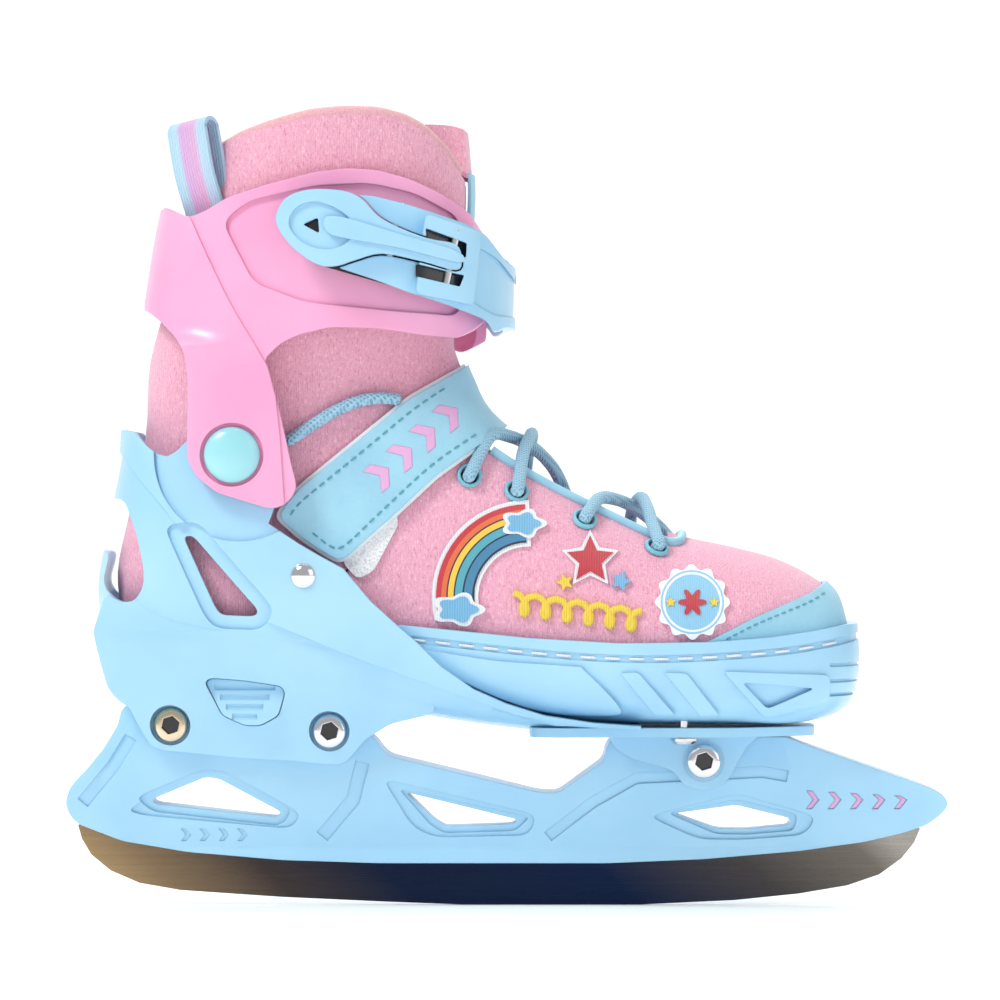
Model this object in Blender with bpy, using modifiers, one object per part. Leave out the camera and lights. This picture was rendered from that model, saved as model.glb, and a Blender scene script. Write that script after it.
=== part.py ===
"""Adjustable soft-boot ice skate for the right foot.

The toe points along +X, the inner (medial) side of the foot along +Y, and +Z is up. The origin is on
the running edge of the blade, under the middle of the foot. Sizes below are in millimetres; MM turns
them into Blender's metres where meshes are made.

The boot is one lofted volume. Every layer of it (textile, toe shell, rear shell, straps, patches) is a
skin between two offsets of that volume, trimmed by outlines drawn in the side view.
"""

import math

import bmesh
import bpy
from mathutils import Matrix, Vector
from mathutils.bvhtree import BVHTree

MM = 0.001

# Driving dimensions.
GAP = 0.3                     # between pieces that touch
LINER_WALL = 4.0              # padded textile
TOE_LAYER = 1.6               # textile to the inside of the toe shell
SHELL_WALL = 2.8              # moulded walls of the toe shell and the rear shell
SLIDE_GAP = 0.4               # toe shell inside the rear shell
BALL_HALF_WIDTH = 38.5
ANKLE_HALF_WIDTH = 28.5
COLLAR_HALF_WIDTH = 36.0
COLLAR_TOP = 256.0            # highest point of the padded collar
SOLE_Z = 62.5                 # underside of the textile under the ball of the foot
CUFF_WALL = 3.2
CUFF_RUN = 0.9                # cuff to rear shell at the ankle pivot
BLADE_THICKNESS = 3.0
BLADE_DEPTH = 7.0             # how far the blade sits inside the holder
HOLDER_FRONT = 143.4
HOLDER_REAR = -137.6
HOLDER_HALF_WIDTH = 13.0
LUG_WALL = 4.4
BOLT_RADIUS = 3.0
BOLT_HEAD_RADIUS = 5.4
BOLT_HEAD_HEIGHT = 3.0
PIVOT_RADIUS = 4.0
CAP_RADIUS = 8.8
LACE_RADIUS = 2.0
EYELET_RADIUS = 4.0
STRAP_THICKNESS = 2.0
BAND_THICKNESS = 4.0          # wrap strap round the shin
LEVER_THICKNESS = 3.2
SIZE_TRAVEL = 20.0            # four shoe sizes
BUTTON_TRAVEL = 3.0

# Places.
PIVOT = (-83.0, 143.4)        # ankle pivot, X and Z
BOLTS = {"rear": (-103.4, 58.2), "middle": (-53.2, 56.3), "front": (65.2, 46.7)}
RIVET = (-60.8, 105.6)
BUTTON = (-79.7, 65.9)
SCREW_X, SCREW_Y = 58.6, -24.0
LEVER_PIN = (-14.4, 204.5)
PAWL_PIN = (-32.6, 209.3)
PIN_AXIS = Vector((0.2, 0.0, 0.98)).normalized()
BAND_AXIS = Vector((0.267, 0.0, 0.964)).normalized()
STRAP_ALONG = Vector((0.784, 0.0, 0.621))
STRAP_ACROSS = Vector((0.621, 0.0, -0.784))
FLAP_SPLIT_Y = -10.2          # where the hook-and-loop end starts to lift
WRAP_SPLIT_X = -24.0          # where the wrap strap swings from, on the medial side
THROAT_HALF = 19.0            # half width of the lace opening
THROAT_END = 54.0
TOP_ROW_BULGE = 10.0          # the top run of lace bows forward, clear of the instep strap
LATERAL_EYELETS = ((49.9, 113.9), (27.2, 122.9), (5.8, 131.8), (-9.0, 136.8))
MEDIAL_EYELETS = ((58.0, 111.0), (42.0, 117.0), (23.0, 124.6), (8.0, 131.0))

# Offsets from the boot volume that follow from the walls.
TOE_OUTER = TOE_LAYER + SHELL_WALL
REAR_INNER = TOE_OUTER + SLIDE_GAP
REAR_OUTER = REAR_INNER + SHELL_WALL
CUFF_INNER_Y = ANKLE_HALF_WIDTH + 0.5 + REAR_OUTER + CUFF_RUN - 0.5
CUFF_OUTER_Y = CUFF_INNER_Y + CUFF_WALL
TRAY_TOP = SOLE_Z - REAR_INNER - 0.1
TRAY_BOTTOM = TRAY_TOP - SHELL_WALL - 0.2
LUG_HALF_WIDTH = HOLDER_HALF_WIDTH + LUG_WALL

# Boot stations from toe to collar: back or bottom point, front or top point, half width, the powers
# of the superellipse behind and before its middle, where the middle is, and how far the station moves
# with an offset (the nose of the toe does).
HEEL_RISE = 13.5
BOOT = [
    ((110.0, SOLE_Z + 13), (109.5, 92), BALL_HALF_WIDTH - 24, 2.4, 2.2, 0.45, 1.0),
    ((107.5, SOLE_Z + 6), (107.0, 99), BALL_HALF_WIDTH - 14.5, 2.6, 2.2, 0.45, 0.9),
    ((101.5, SOLE_Z + 2), (101.0, 104.5), BALL_HALF_WIDTH - 8, 3.0, 2.2, 0.45, 0.6),
    ((90.0, SOLE_Z), (89.0, 110.5), BALL_HALF_WIDTH - 3.2, 3.4, 2.2, 0.45, 0.3),
    ((75.0, SOLE_Z), (74.0, 114.5), BALL_HALF_WIDTH - 0.6, 3.4, 2.2, 0.45, 0.0),
    ((55.0, SOLE_Z), (55.0, 119.0), BALL_HALF_WIDTH, 3.4, 2.1, 0.45, 0.0),
    ((35.0, SOLE_Z), (35.0, 129.0), BALL_HALF_WIDTH - 1.2, 3.4, 2.1, 0.44, 0.0),
    ((14.0, SOLE_Z + 1), (14.0, 141.5), BALL_HALF_WIDTH - 3.6, 3.4, 2.1, 0.43, 0.0),
    ((-8.0, SOLE_Z + 3.5), (-2.0, 154.0), BALL_HALF_WIDTH - 6.2, 3.2, 2.1, 0.43, 0.0),
    ((-32.0, SOLE_Z + 7.5), (-8.5, 165.0), ANKLE_HALF_WIDTH + 2.0, 3.0, 2.1, 0.44, 0.0),
    ((-58.0, SOLE_Z + 11.5), (-11.5, 171.0), ANKLE_HALF_WIDTH + 0.8, 2.8, 2.1, 0.45, 0.0),
    ((-84.0, SOLE_Z + HEEL_RISE), (-13.0, 175.0), ANKLE_HALF_WIDTH, 2.8, 2.1, 0.46, 0.0),
    ((-107.0, SOLE_Z + HEEL_RISE + 4), (-14.0, 178.5), ANKLE_HALF_WIDTH, 2.6, 2.1, 0.46, 0.0),
    ((-118.5, 91.0), (-14.0, 181.5), ANKLE_HALF_WIDTH, 2.5, 2.1, 0.47, 0.0),
    ((-121.5, 106.0), (-14.0, 184.5), ANKLE_HALF_WIDTH, 2.4, 2.1, 0.47, 0.0),
    ((-117.5, 126.0), (-13.5, 188.0), ANKLE_HALF_WIDTH + 0.5, 2.4, 2.1, 0.48, 0.0),
    ((-112.5, 150.0), (-12.5, 193.0), ANKLE_HALF_WIDTH + 2.0, 2.4, 2.2, 0.48, 0.0),
    ((-111.0, 173.0), (-11.0, 200.0), COLLAR_HALF_WIDTH - 2.5, 2.4, 2.2, 0.5, 0.0),
    ((-104.5, 197.0), (-9.5, 211.0), COLLAR_HALF_WIDTH, 2.4, 2.2, 0.5, 0.0),
    ((-99.0, 222.0), (-8.5, 227.0), COLLAR_HALF_WIDTH, 2.4, 2.2, 0.5, 0.0),
    ((-92.0, 243.0), (-9.5, 243.0), COLLAR_HALF_WIDTH - 0.5, 2.4, 2.2, 0.5, 0.0),
    ((-88.0, COLLAR_TOP + 4), (-11.5, COLLAR_TOP + 4), COLLAR_HALF_WIDTH - 1, 2.4, 2.2, 0.5, 0.0),
]

# Cuff stations, bottom to top, in the same form. The lower ones have flat sides for the pivot.
CUFF = [
    ((-142.0, 100.0), (-26.0, 100.0), CUFF_OUTER_Y, 8.0, 8.0, 0.5, 0.0),
    ((-136.0, 168.0), (-22.0, 168.0), CUFF_OUTER_Y, 8.0, 8.0, 0.5, 0.0),
    ((-114.0, 180.0), (-5.0, 178.0), CUFF_OUTER_Y + 0.6, 3.6, 3.2, 0.5, 0.0),
    ((-112.0, 192.0), (-3.0, 188.0), CUFF_OUTER_Y + 1.2, 2.9, 2.8, 0.5, 0.0),
    ((-108.5, 214.0), (-3.0, 206.0), CUFF_OUTER_Y + 1.4, 2.8, 2.7, 0.5, 0.0),
    ((-103.0, 238.0), (-5.5, 228.0), CUFF_OUTER_Y + 1.2, 2.8, 2.7, 0.5, 0.0),
    ((-99.0, 252.0), (-7.0, 243.0), CUFF_OUTER_Y + 1.0, 2.8, 2.7, 0.5, 0.0),
]

PARTS = None
CUTTERS = None


# ---------------------------------------------------------------- building tools

def clear_scene():
    for obj in list(bpy.data.objects):
        bpy.data.objects.remove(obj, do_unlink=True)


def make_collections():
    global PARTS, CUTTERS
    PARTS = bpy.data.collections.new("ice_skate")
    CUTTERS = bpy.data.collections.new("cutters")
    for collection in (PARTS, CUTTERS):
        bpy.context.scene.collection.children.link(collection)
    CUTTERS.hide_render = True


def material(name, color, roughness=0.5, metallic=0.0):
    made = bpy.data.materials.get(name)
    if made is None:
        made = bpy.data.materials.new(name)
        made.use_nodes = True
        shader = made.node_tree.nodes["Principled BSDF"]
        shader.inputs["Base Color"].default_value = (*color, 1.0)
        shader.inputs["Roughness"].default_value = roughness
        shader.inputs["Metallic"].default_value = metallic
    return made


def as_cutter(obj):
    for collection in list(obj.users_collection):
        collection.objects.unlink(obj)
    CUTTERS.objects.link(obj)
    obj.hide_render = True
    obj.display_type = "WIRE"
    return obj


def as_part(obj, name, finish):
    obj.name = name
    obj.data.name = name
    for collection in list(obj.users_collection):
        collection.objects.unlink(obj)
    PARTS.objects.link(obj)
    obj.hide_render = False
    obj.display_type = "TEXTURED"
    obj.data.materials.clear()
    obj.data.materials.append(finish)
    return obj


def mesh_object(name, builder):
    """A cutter object from a bmesh, with its faces turned outwards."""
    bmesh.ops.recalc_face_normals(builder, faces=builder.faces[:])
    data = bpy.data.meshes.new(name)
    builder.to_mesh(data)
    builder.free()
    return as_cutter(bpy.data.objects.new(name, data))


def boolean(target, other, operation="DIFFERENCE"):
    made = target.modifiers.new(other.name, "BOOLEAN")
    made.operation = operation
    made.solver = "EXACT"
    made.object = other
    return target


def rounded(points, radius, steps=3):
    """The outline with each corner replaced by a short arc that fits its two sides."""
    result = []
    count = len(points)
    for index in range(count):
        here = Vector(points[index])
        to_last = Vector(points[index - 1]) - here
        to_next = Vector(points[(index + 1) % count]) - here
        reach = min(radius, 0.45 * to_last.length, 0.45 * to_next.length)
        start = here + to_last.normalized() * reach
        end = here + to_next.normalized() * reach
        for step in range(steps + 1):
            share = step / steps
            bend = start * (1 - share) ** 2 + here * 2 * share * (1 - share) + end * share ** 2
            result.append((bend.x, bend.y))
    return result


def grown(points, distance):
    """The closed outline moved outwards by distance. Its points run clockwise or the other way."""
    count = len(points)
    area = sum(points[i - 1][0] * points[i][1] - points[i][0] * points[i - 1][1] for i in range(count))
    turn = 1.0 if area > 0 else -1.0
    result = []
    for index in range(count):
        last = (Vector(points[index]) - Vector(points[index - 1])).normalized()
        following = (Vector(points[(index + 1) % count]) - Vector(points[index])).normalized()
        normal = Vector((last.y + following.y, -last.x - following.x)) * turn
        normal /= max(0.5, (1 + last.dot(following)))
        result.append((points[index][0] + normal.x * distance, points[index][1] + normal.y * distance))
    return result


def disc(x, z, radius, steps=20):
    turns = [math.tau * step / steps for step in range(steps)]
    return [(x + radius * math.cos(t), z + radius * math.sin(t)) for t in turns]


def plate(name, outlines, low, high, plane="XZ"):
    """A flat outline, with its holes, extruded across its plane from low to high."""
    curve = bpy.data.curves.new(name, "CURVE")
    curve.dimensions = "2D"
    curve.fill_mode = "BOTH"
    curve.extrude = (high - low) / 2 * MM
    for outline in outlines:
        spline = curve.splines.new("POLY")
        spline.points.add(len(outline) - 1)
        for point, (across, up) in zip(spline.points, outline):
            point.co = (across * MM, up * MM, 0.0, 1.0)
        spline.use_cyclic_u = True
    flat = bpy.data.objects.new(name, curve)
    data = bpy.data.meshes.new_from_object(flat)
    bpy.data.objects.remove(flat)
    middle = (low + high) / 2 * MM
    if plane == "XZ":
        place = Matrix.Translation((0, middle, 0)) @ Matrix.Rotation(math.pi / 2, 4, "X")
    else:
        place = Matrix.Translation((middle, 0, 0)) @ Matrix(((0, 0, 1, 0), (1, 0, 0, 0), (0, 1, 0, 0), (0, 0, 0, 1)))
    data.transform(place)
    builder = bmesh.new()
    builder.from_mesh(data)
    bpy.data.meshes.remove(data)
    bmesh.ops.remove_doubles(builder, verts=builder.verts[:], dist=1e-7)
    return mesh_object(name, builder)


def box(name, low, high):
    builder = bmesh.new()
    bmesh.ops.create_cube(builder, size=1.0)
    size = [(b - a) * MM for a, b in zip(low, high)]
    centre = [(a + b) / 2 * MM for a, b in zip(low, high)]
    bmesh.ops.transform(
        builder, matrix=Matrix.Translation(centre) @ Matrix.Diagonal((*size, 1.0)), verts=builder.verts[:]
    )
    return mesh_object(name, builder)


def rod(name, start, end, radius, sides=20, end_radius=None):
    """A cylinder or cone between two points."""
    start, end = Vector(start) * MM, Vector(end) * MM
    along = end - start
    builder = bmesh.new()
    bmesh.ops.create_cone(
        builder, cap_ends=True, segments=sides, radius1=radius * MM,
        radius2=(radius if end_radius is None else end_radius) * MM, depth=along.length,
    )
    place = Matrix.Translation((start + end) / 2) @ along.to_track_quat("Z", "Y").to_matrix().to_4x4()
    bmesh.ops.transform(builder, matrix=place, verts=builder.verts[:])
    return mesh_object(name, builder)


def turned(name, profile, place, along, steps=20):
    """A profile of (radius, height) turned round an axis through place. It runs top to bottom."""
    data = bpy.data.meshes.new(name)
    closed = profile[0] == profile[-1]
    points = profile[:-1] if closed else profile
    edges = [(i, i + 1) for i in range(len(points) - 1)]
    if closed:
        edges.append((len(points) - 1, 0))
    data.from_pydata([(r * MM, 0.0, h * MM) for r, h in points], edges, [])
    obj = as_cutter(bpy.data.objects.new(name, data))
    obj.location = Vector(place) * MM
    obj.rotation_euler = Vector(along).to_track_quat("Z", "Y").to_euler()
    screw = obj.modifiers.new("turn", "SCREW")
    screw.steps = screw.render_steps = steps
    screw.use_merge_vertices = True
    screw.merge_threshold = 1e-5
    return obj


def ring_points(station, offset, count):
    """One closed cross-section of a station, in the plane of its back-to-front line and Y."""
    (bx, bz), (fx, fz), half_width, back_power, front_power, middle, nose = station
    back, front = Vector((bx, 0, bz)), Vector((fx, 0, fz))
    along = (front - back).normalized()
    length = (front - back).length
    centre = back + along * length * middle + Vector((nose * offset, 0, 0))
    width = half_width + offset
    points = []
    for index in range(count):
        angle = math.tau * index / count
        c, s = math.cos(angle), math.sin(angle)
        power = front_power if c >= 0 else back_power
        reach = length * (1 - middle) + offset if c >= 0 else length * middle + offset
        ahead = math.copysign(abs(c) ** (2 / power), c) * reach
        aside = math.copysign(abs(s) ** (2 / power), s) * width
        points.append(centre + along * ahead + Vector((0, aside, 0)))
    return points


def loft(name, stations, offset, count=28, extend=(0, 0)):
    """A closed volume through the stations. extend lengthens its first and last ends."""
    rings = [ring_points(station, offset, count) for station in stations]
    if extend[0]:
        push = (rings[0][0] - rings[1][0]).normalized() * extend[0]
        rings.insert(0, [point + push for point in rings[0]])
    if extend[1]:
        push = Vector((0, 0, extend[1]))
        rings.append([point + push for point in rings[-1]])
    builder = bmesh.new()
    rows = [[builder.verts.new(point * MM) for point in ring] for ring in rings]
    for low, high in zip(rows, rows[1:]):
        for i in range(count):
            j = (i + 1) % count
            builder.faces.new((low[i], low[j], high[j], high[i]))
    builder.faces.new(list(reversed(rows[0])))
    builder.faces.new(rows[-1])
    return mesh_object(name, builder)


def skin(name, stations, inner, outer, outline, low=-70.0, high=70.0, holes=(), open_ends=(0, 3), count=28):
    """The layer between two offsets of a volume, kept inside an outline of the side view."""
    layer = loft(name, stations, outer, count)
    boolean(layer, loft(name + "_hollow", stations, inner, count, open_ends))
    boolean(layer, plate(name + "_outline", [outline, *holes], low, high), "INTERSECT")
    return layer


def surface_tree(stations, offset, count):
    """The side faces of a loft, for casting rays at."""
    points, faces = [], []
    for station in stations:
        points += ring_points(station, offset, count)
    for row in range(len(stations) - 1):
        for i in range(count):
            j = (i + 1) % count
            low, high = row * count, (row + 1) * count
            faces.append((low + i, low + j, high + j, high + i))
    return BVHTree.FromPolygons(points, faces)


def surface_point(stations, x, z, side, offset, reach=0.0, count=28):
    """The point of a volume's surface at this side-view place, and the outward normal there.

    side is -1 for the lateral (outer) side and +1 for the medial side. With a reach, the normal is the
    mean over a disc of that radius, and the point is lifted until the disc clears the surface.
    """
    tree = surface_tree(stations, offset, count)

    def cast(across, up):
        place, normal, _, _ = tree.ray_cast(Vector((across, 90.0 * side, up)), Vector((0, -side, 0)))
        return place, normal * math.copysign(1.0, normal.y * side)

    point, normal = cast(x, z)
    if reach:
        rim = [cast(x + reach * math.cos(a), z + reach * math.sin(a)) for a in
               [math.tau * step / 12 for step in range(12)]]
        normal = sum((other for _, other in rim), normal * 2).normalized()
        point = point + normal * max(0.0, max((place - point).dot(normal) for place, _ in rim))
    return point, normal


# ---------------------------------------------------------------- finishes

BLUE = material("blue_plastic", (0.45, 0.76, 0.92), 0.32)
PINK = material("pink_plastic", (0.95, 0.50, 0.72), 0.32)
TEXTILE = material("pink_textile", (0.76, 0.36, 0.46), 0.95)
LEATHER = material("blue_leather", (0.38, 0.68, 0.80), 0.55)
CORD = material("blue_cord", (0.31, 0.55, 0.70), 0.8)
STEEL = material("blade_steel", (0.46, 0.46, 0.48), 0.25, 1.0)
CHROME = material("chrome", (0.80, 0.80, 0.82), 0.12, 1.0)
MINT = material("mint_cap", (0.46, 0.80, 0.84), 0.2)
WHITE = material("white_pad", (0.86, 0.86, 0.88), 0.9)
RIBBON = material("ribbon", (0.60, 0.48, 0.78), 0.8)
DARK = material("dark_plastic", (0.02, 0.02, 0.025), 0.4)
YELLOW = material("yellow_thread", (0.93, 0.75, 0.08), 0.8)
RED = material("red_thread", (0.70, 0.05, 0.06), 0.8)


# ---------------------------------------------------------------- blade and holder

HOLDER_TOP = TRAY_BOTTOM - 0.5
HOLDER_EDGE = [(-119.7, 20.5), (-99.2, 17.0), (-68.8, 14.4), (-38.0, 13.4), (34.9, 13.4), (65.6, 14.7),
               (96.3, 17.3), (116.8, 20.2), (130.0, 23.4)]


def holder_outline():
    rear, front = HOLDER_REAR, HOLDER_FRONT
    nose = [(front - 6.4, 25.9), (front - 1.3, 30.1), (front, 33.0), (front - 2.3, 36.2), (front - 8.4, 38.7)]
    top = [(116.8, 45.1), (98.0, 51.6), (92.0, HOLDER_TOP), (37.0, HOLDER_TOP), (34.4, 51.0), (33.6, 46.5),
           (19.2, 36.2), (13.0, 36.4), (-5.8, 41.0), (-34.0, 47.8), (-36.6, 50.0), (-38.5, 53.0)]
    heel = [(-50.0, 61.0), (-60.0, 65.2), (-112.0, 66.2), (-119.3, 63.5), (-120.6, 57.9), (-124.8, 50.9)]
    tail = [(rear + 7.7, 44.5), (rear + 1.9, 38.4), (rear, 33.3), (rear + 1.0, 29.4), (rear + 3.6, 26.2)]
    return HOLDER_EDGE + nose + top + heel + tail


def make_blade_holder():
    windows = [
        rounded([(-110.4, 33.9), (-93.1, 41.2), (-88.8, 40.8), (-69.0, 29.9), (-70.2, 28.2), (-109.0, 32.6)], 1.5),
        rounded([(-29.5, 36.4), (6.4, 27.4), (4.8, 26.0), (-16.6, 25.3), (-20.0, 27.4)], 1.5),
        rounded([(56.0, 29.4), (75.8, 32.2), (93.4, 27.8), (93.0, 25.6), (79.0, 24.4), (69.8, 24.6)], 1.5),
    ]
    holder = plate("holder", [holder_outline(), *windows], -HOLDER_HALF_WIDTH, HOLDER_HALF_WIDTH)
    foot = BLADE_THICKNESS / 2 + 3.0
    profile = [(-HOLDER_HALF_WIDTH, 80), (-HOLDER_HALF_WIDTH, 42), (-foot, 19), (-foot, 5),
               (foot, 5), (foot, 19), (HOLDER_HALF_WIDTH, 42), (HOLDER_HALF_WIDTH, 80)]
    boolean(holder, plate("holder_taper", [profile], -150, 155, plane="YZ"), "INTERSECT")
    half_slot = BLADE_THICKNESS / 2 + GAP
    boolean(holder, plate("blade_slot", [grown(blade_outline(), GAP)], -half_slot, half_slot))
    for x, z in BOLTS.values():
        boolean(holder, rod("holder_bore", (x, -30, z), (x, 30, z), BOLT_RADIUS + GAP, 16))
    return as_part(holder, "blade_holder", BLUE)


def blade_outline():
    top = [(x, z + BLADE_DEPTH) for x, z in HOLDER_EDGE]
    top[0], top[-1] = (-128.0, 27.6), (131.0, 28.4)
    toe = [(HOLDER_FRONT - 8.4, 24.2), (HOLDER_FRONT - 10.3, 19.8), (HOLDER_FRONT - 14.4, 14.7),
           (HOLDER_FRONT - 21.5, 9.6), (HOLDER_FRONT - 31.7, 6.1), (96.3, 3.5), (75.8, 1.4)]
    edge = [(46.0, 0.0), (-12.0, 0.0), (-38.0, 1.0), (-68.8, 2.4)]
    heel = [(HOLDER_REAR + 36.2, 4.6), (HOLDER_REAR + 23.0, 6.9), (HOLDER_REAR + 13.8, 10.9),
            (HOLDER_REAR + 7.6, 16.0), (HOLDER_REAR + 4.6, 21.1), (HOLDER_REAR + 3.4, 25.4)]
    return top + toe + edge + heel


def make_blade():
    blade = plate("blade", [blade_outline()], -BLADE_THICKNESS / 2, BLADE_THICKNESS / 2)
    return as_part(blade, "blade", STEEL)


def make_frame_fasteners():
    """Each cross bolt has its head on the lateral side and a sleeve nut on the medial side."""
    for name, (x, z) in BOLTS.items():
        seat = LUG_HALF_WIDTH
        bolt = turned("bolt_" + name, [
            (0.0, BOLT_HEAD_HEIGHT), (BOLT_HEAD_RADIUS - 1.2, BOLT_HEAD_HEIGHT),
            (BOLT_HEAD_RADIUS, BOLT_HEAD_HEIGHT - 0.8), (BOLT_HEAD_RADIUS, 0.0), (BOLT_RADIUS, 0.0),
            (BOLT_RADIUS, -2 * seat + 6.0), (0.0, -2 * seat + 6.0),
        ], (x, -seat - GAP, z), (0, -1, 0))
        socket = rod("socket_" + name, (x, -seat - 0.9, z), (x, -seat - 9.0, z), 2.9, 6)
        boolean(bolt, socket)
        as_part(bolt, "frame_bolt_" + name, CHROME)
        shaft = BOLT_RADIUS + GAP
        nut = turned("nut_" + name, [
            (shaft + 0.1, 2.6), (BOLT_HEAD_RADIUS - 1.0, 2.6), (BOLT_HEAD_RADIUS, 1.8),
            (BOLT_HEAD_RADIUS, 0.0), (shaft + 0.1, 0.0), (shaft + 0.1, 2.6),
        ], (x, seat + GAP, z), (0, 1, 0))
        as_part(nut, "frame_nut_" + name, CHROME)


# ---------------------------------------------------------------- shells

SHELL_EDGE = [(-69.0, 144.0), (-69.5, 128.0), (-71.7, 121.9), (-62.0, 115.5), (-56.0, 112.0), (-48.3, 107.8),
              (-39.7, 97.6), (-32.0, 90.6), (-25.0, 84.5), (-17.6, 77.1), (-7.4, 70.0), (2.6, 65.6),
              (14.7, 61.8), (30.0, 59.5), (45.0, 58.4)]
HEEL_OPENING = [(-118.0, 129.6), (-145.0, 131.0), (-145.0, 114.0), (-122.6, 113.3), (-125.1, 103.4),
                (-123.0, 99.5), (-118.5, 97.0), (-114.5, 97.4), (-111.6, 101.5), (-111.2, 107.0), (-113.4, 117.5)]
WING_WINDOW = [(-98.6, 117.8), (-95.6, 118.2), (-75.0, 94.6), (-76.2, 92.8), (-86.6, 93.2), (-88.4, 95.2)]


def cross_taper(name, low_x, high_x, low_half, low_z, high_half, high_z):
    """A bar along X whose sides slope, to give a lug its draft."""
    profile = [(-low_half, low_z - 30), (-low_half, low_z), (-high_half, high_z), (-high_half, high_z + 20),
               (high_half, high_z + 20), (high_half, high_z), (low_half, low_z), (low_half, low_z - 30)]
    return plate(name, [profile], low_x, high_x, plane="YZ")


def make_rear_shell():
    pivot_x, pivot_z = PIVOT
    ear = [(pivot_x + 14.2 * math.cos(math.radians(a)), pivot_z + 14.2 * math.sin(math.radians(a)))
           for a in (155, 130, 105, 80, 55, 30)]
    wing = [(-145.0, 151.6), (-117.4, 151.4), (-114.6, 150.8), (-110.4, 146.2), (-106.9, 143.7),
            (-103.7, 143.0), (-100.8, 144.6)]
    outline = wing + ear + SHELL_EDGE + [(45.0, 45.0), (-145.0, 45.0)]
    shell = loft("rear_shell", BOOT, REAR_OUTER)
    boolean(shell, plate("rear_outline", [outline], -70, 70), "INTERSECT")

    heel_block = plate("heel_block", [[
        (-127.0, 88.0), (-122.9, 70.4), (-119.4, 65.8), (-116.0, 64.0), (-113.6, 58.6), (-110.0, 52.0),
        (-106.6, 50.2), (-81.0, 47.7), (-63.7, 46.7), (-52.5, 45.4), (-48.3, 46.1), (-45.0, 49.6),
        (-42.2, 53.4), (-34.0, 58.6), (-20.0, 62.0), (-20.0, 70.0), (-50.0, 88.0),
    ]], -60, 60)
    boolean(heel_block, cross_taper("heel_draft", -130, -10, LUG_HALF_WIDTH, 46, 33.0, 92), "INTERSECT")

    tray_half = LUG_HALF_WIDTH + 17
    tray = plate("tray", [rounded([(10, -tray_half), (74, -tray_half), (101, -tray_half + 15),
                                   (101, tray_half - 15), (74, tray_half), (10, tray_half)], 6)],
                 (TRAY_BOTTOM - TRAY_TOP) / 2, (TRAY_TOP - TRAY_BOTTOM) / 2)
    tray.data.transform(Matrix.Translation((0, 0, (TRAY_TOP + TRAY_BOTTOM) / 2 * MM))
                        @ Matrix.Rotation(-math.pi / 2, 4, "X"))
    bolt_x, bolt_z = BOLTS["front"]
    lug = plate("front_lug", [[(34.5, TRAY_TOP - 0.6), (36.5, 51.0), (43.0, 47.0), (bolt_x - 9.5, bolt_z - 3.0),
                               (bolt_x - 6.5, bolt_z - 7.8), (bolt_x, bolt_z - 9.6), (bolt_x + 6.5, bolt_z - 7.8),
                               (bolt_x + 9.5, bolt_z - 3.0), (bolt_x + 13, 50.5), (bolt_x + 20, TRAY_TOP - 0.6)]],
                -LUG_HALF_WIDTH, LUG_HALF_WIDTH)
    boolean(tray, lug, "UNION")
    boolean(shell, tray, "UNION")
    boolean(shell, heel_block, "UNION")

    boolean(shell, loft("shell_hollow", BOOT, REAR_INNER, extend=(0, 3)))
    reach = HOLDER_HALF_WIDTH + GAP
    boolean(shell, plate("holder_room", [grown(holder_outline(), GAP)], -reach, reach))
    for number, opening in enumerate((HEEL_OPENING, rounded(WING_WINDOW, 2.0))):
        boolean(shell, plate("shell_window%d" % number, [opening], -70, 70))
    for x, z in BOLTS.values():
        boolean(shell, rod("shell_bore", (x, -50, z), (x, 50, z), BOLT_RADIUS + GAP, 16))
        for side in (-1, 1):
            boolean(shell, rod("counterbore", (x, side * (LUG_HALF_WIDTH - 0.1), z), (x, side * 50, z),
                               BOLT_HEAD_RADIUS + 0.9, 20))
    boolean(shell, rod("pivot_bore", (pivot_x, -60, pivot_z), (pivot_x, 60, pivot_z), PIVOT_RADIUS + GAP, 16))
    button_x, button_z = BUTTON
    boolean(shell, plate("button_pocket", [grown(button_outline(), GAP)], -45, -HOLDER_HALF_WIDTH - 4.0))
    boolean(shell, box("latch_slot", (button_x - 4.3, -45, button_z + 4.7),
                       (button_x + 4.3, -8.0, button_z + 8.3)))
    slot = [(SCREW_X - 3.0, -2.6), (SCREW_X + SIZE_TRAVEL + 3.0, -2.6), (SCREW_X + SIZE_TRAVEL + 3.0, 2.6),
            (SCREW_X - 3.0, 2.6)]
    slot_cut = plate("screw_slot", [slot], -8, 8)
    slot_cut.data.transform(Matrix.Translation((0, SCREW_Y * MM, TRAY_TOP * MM))
                            @ Matrix.Rotation(-math.pi / 2, 4, "X"))
    boolean(shell, slot_cut)
    for side in (-1, 1):
        point, normal = shell_rivet_seat(side)
        boolean(shell, rod("rivet_bore", point - normal * 12, point + normal * 12, 2.0 + GAP, 12))
    return as_part(shell, "rear_shell", BLUE)


def shell_rivet_seat(side):
    return surface_point(BOOT, RIVET[0], RIVET[1], side, REAR_OUTER, 4.4)


TOE_RIM = [(-31.0, 90.2), (9.6, 86.2), (37.8, 84.6), (66.0, 85.0), (84.8, 86.4), (98.9, 88.3), (110.0, 90.2),
           (125.0, 90.6)]


def make_toe_shell():
    outline = TOE_RIM + [(125.0, 50.0), (-44.0, 50.0), (-44.0, 66.0)]
    shell = skin("toe_shell", BOOT, TOE_LAYER, TOE_OUTER, outline, open_ends=(0, 0))
    boolean(shell, rod("screw_bore", (SCREW_X, SCREW_Y, 40), (SCREW_X, SCREW_Y, SOLE_Z - TOE_LAYER + 1.2), 1.9, 12))
    return as_part(shell, "toe_shell", BLUE)


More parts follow.
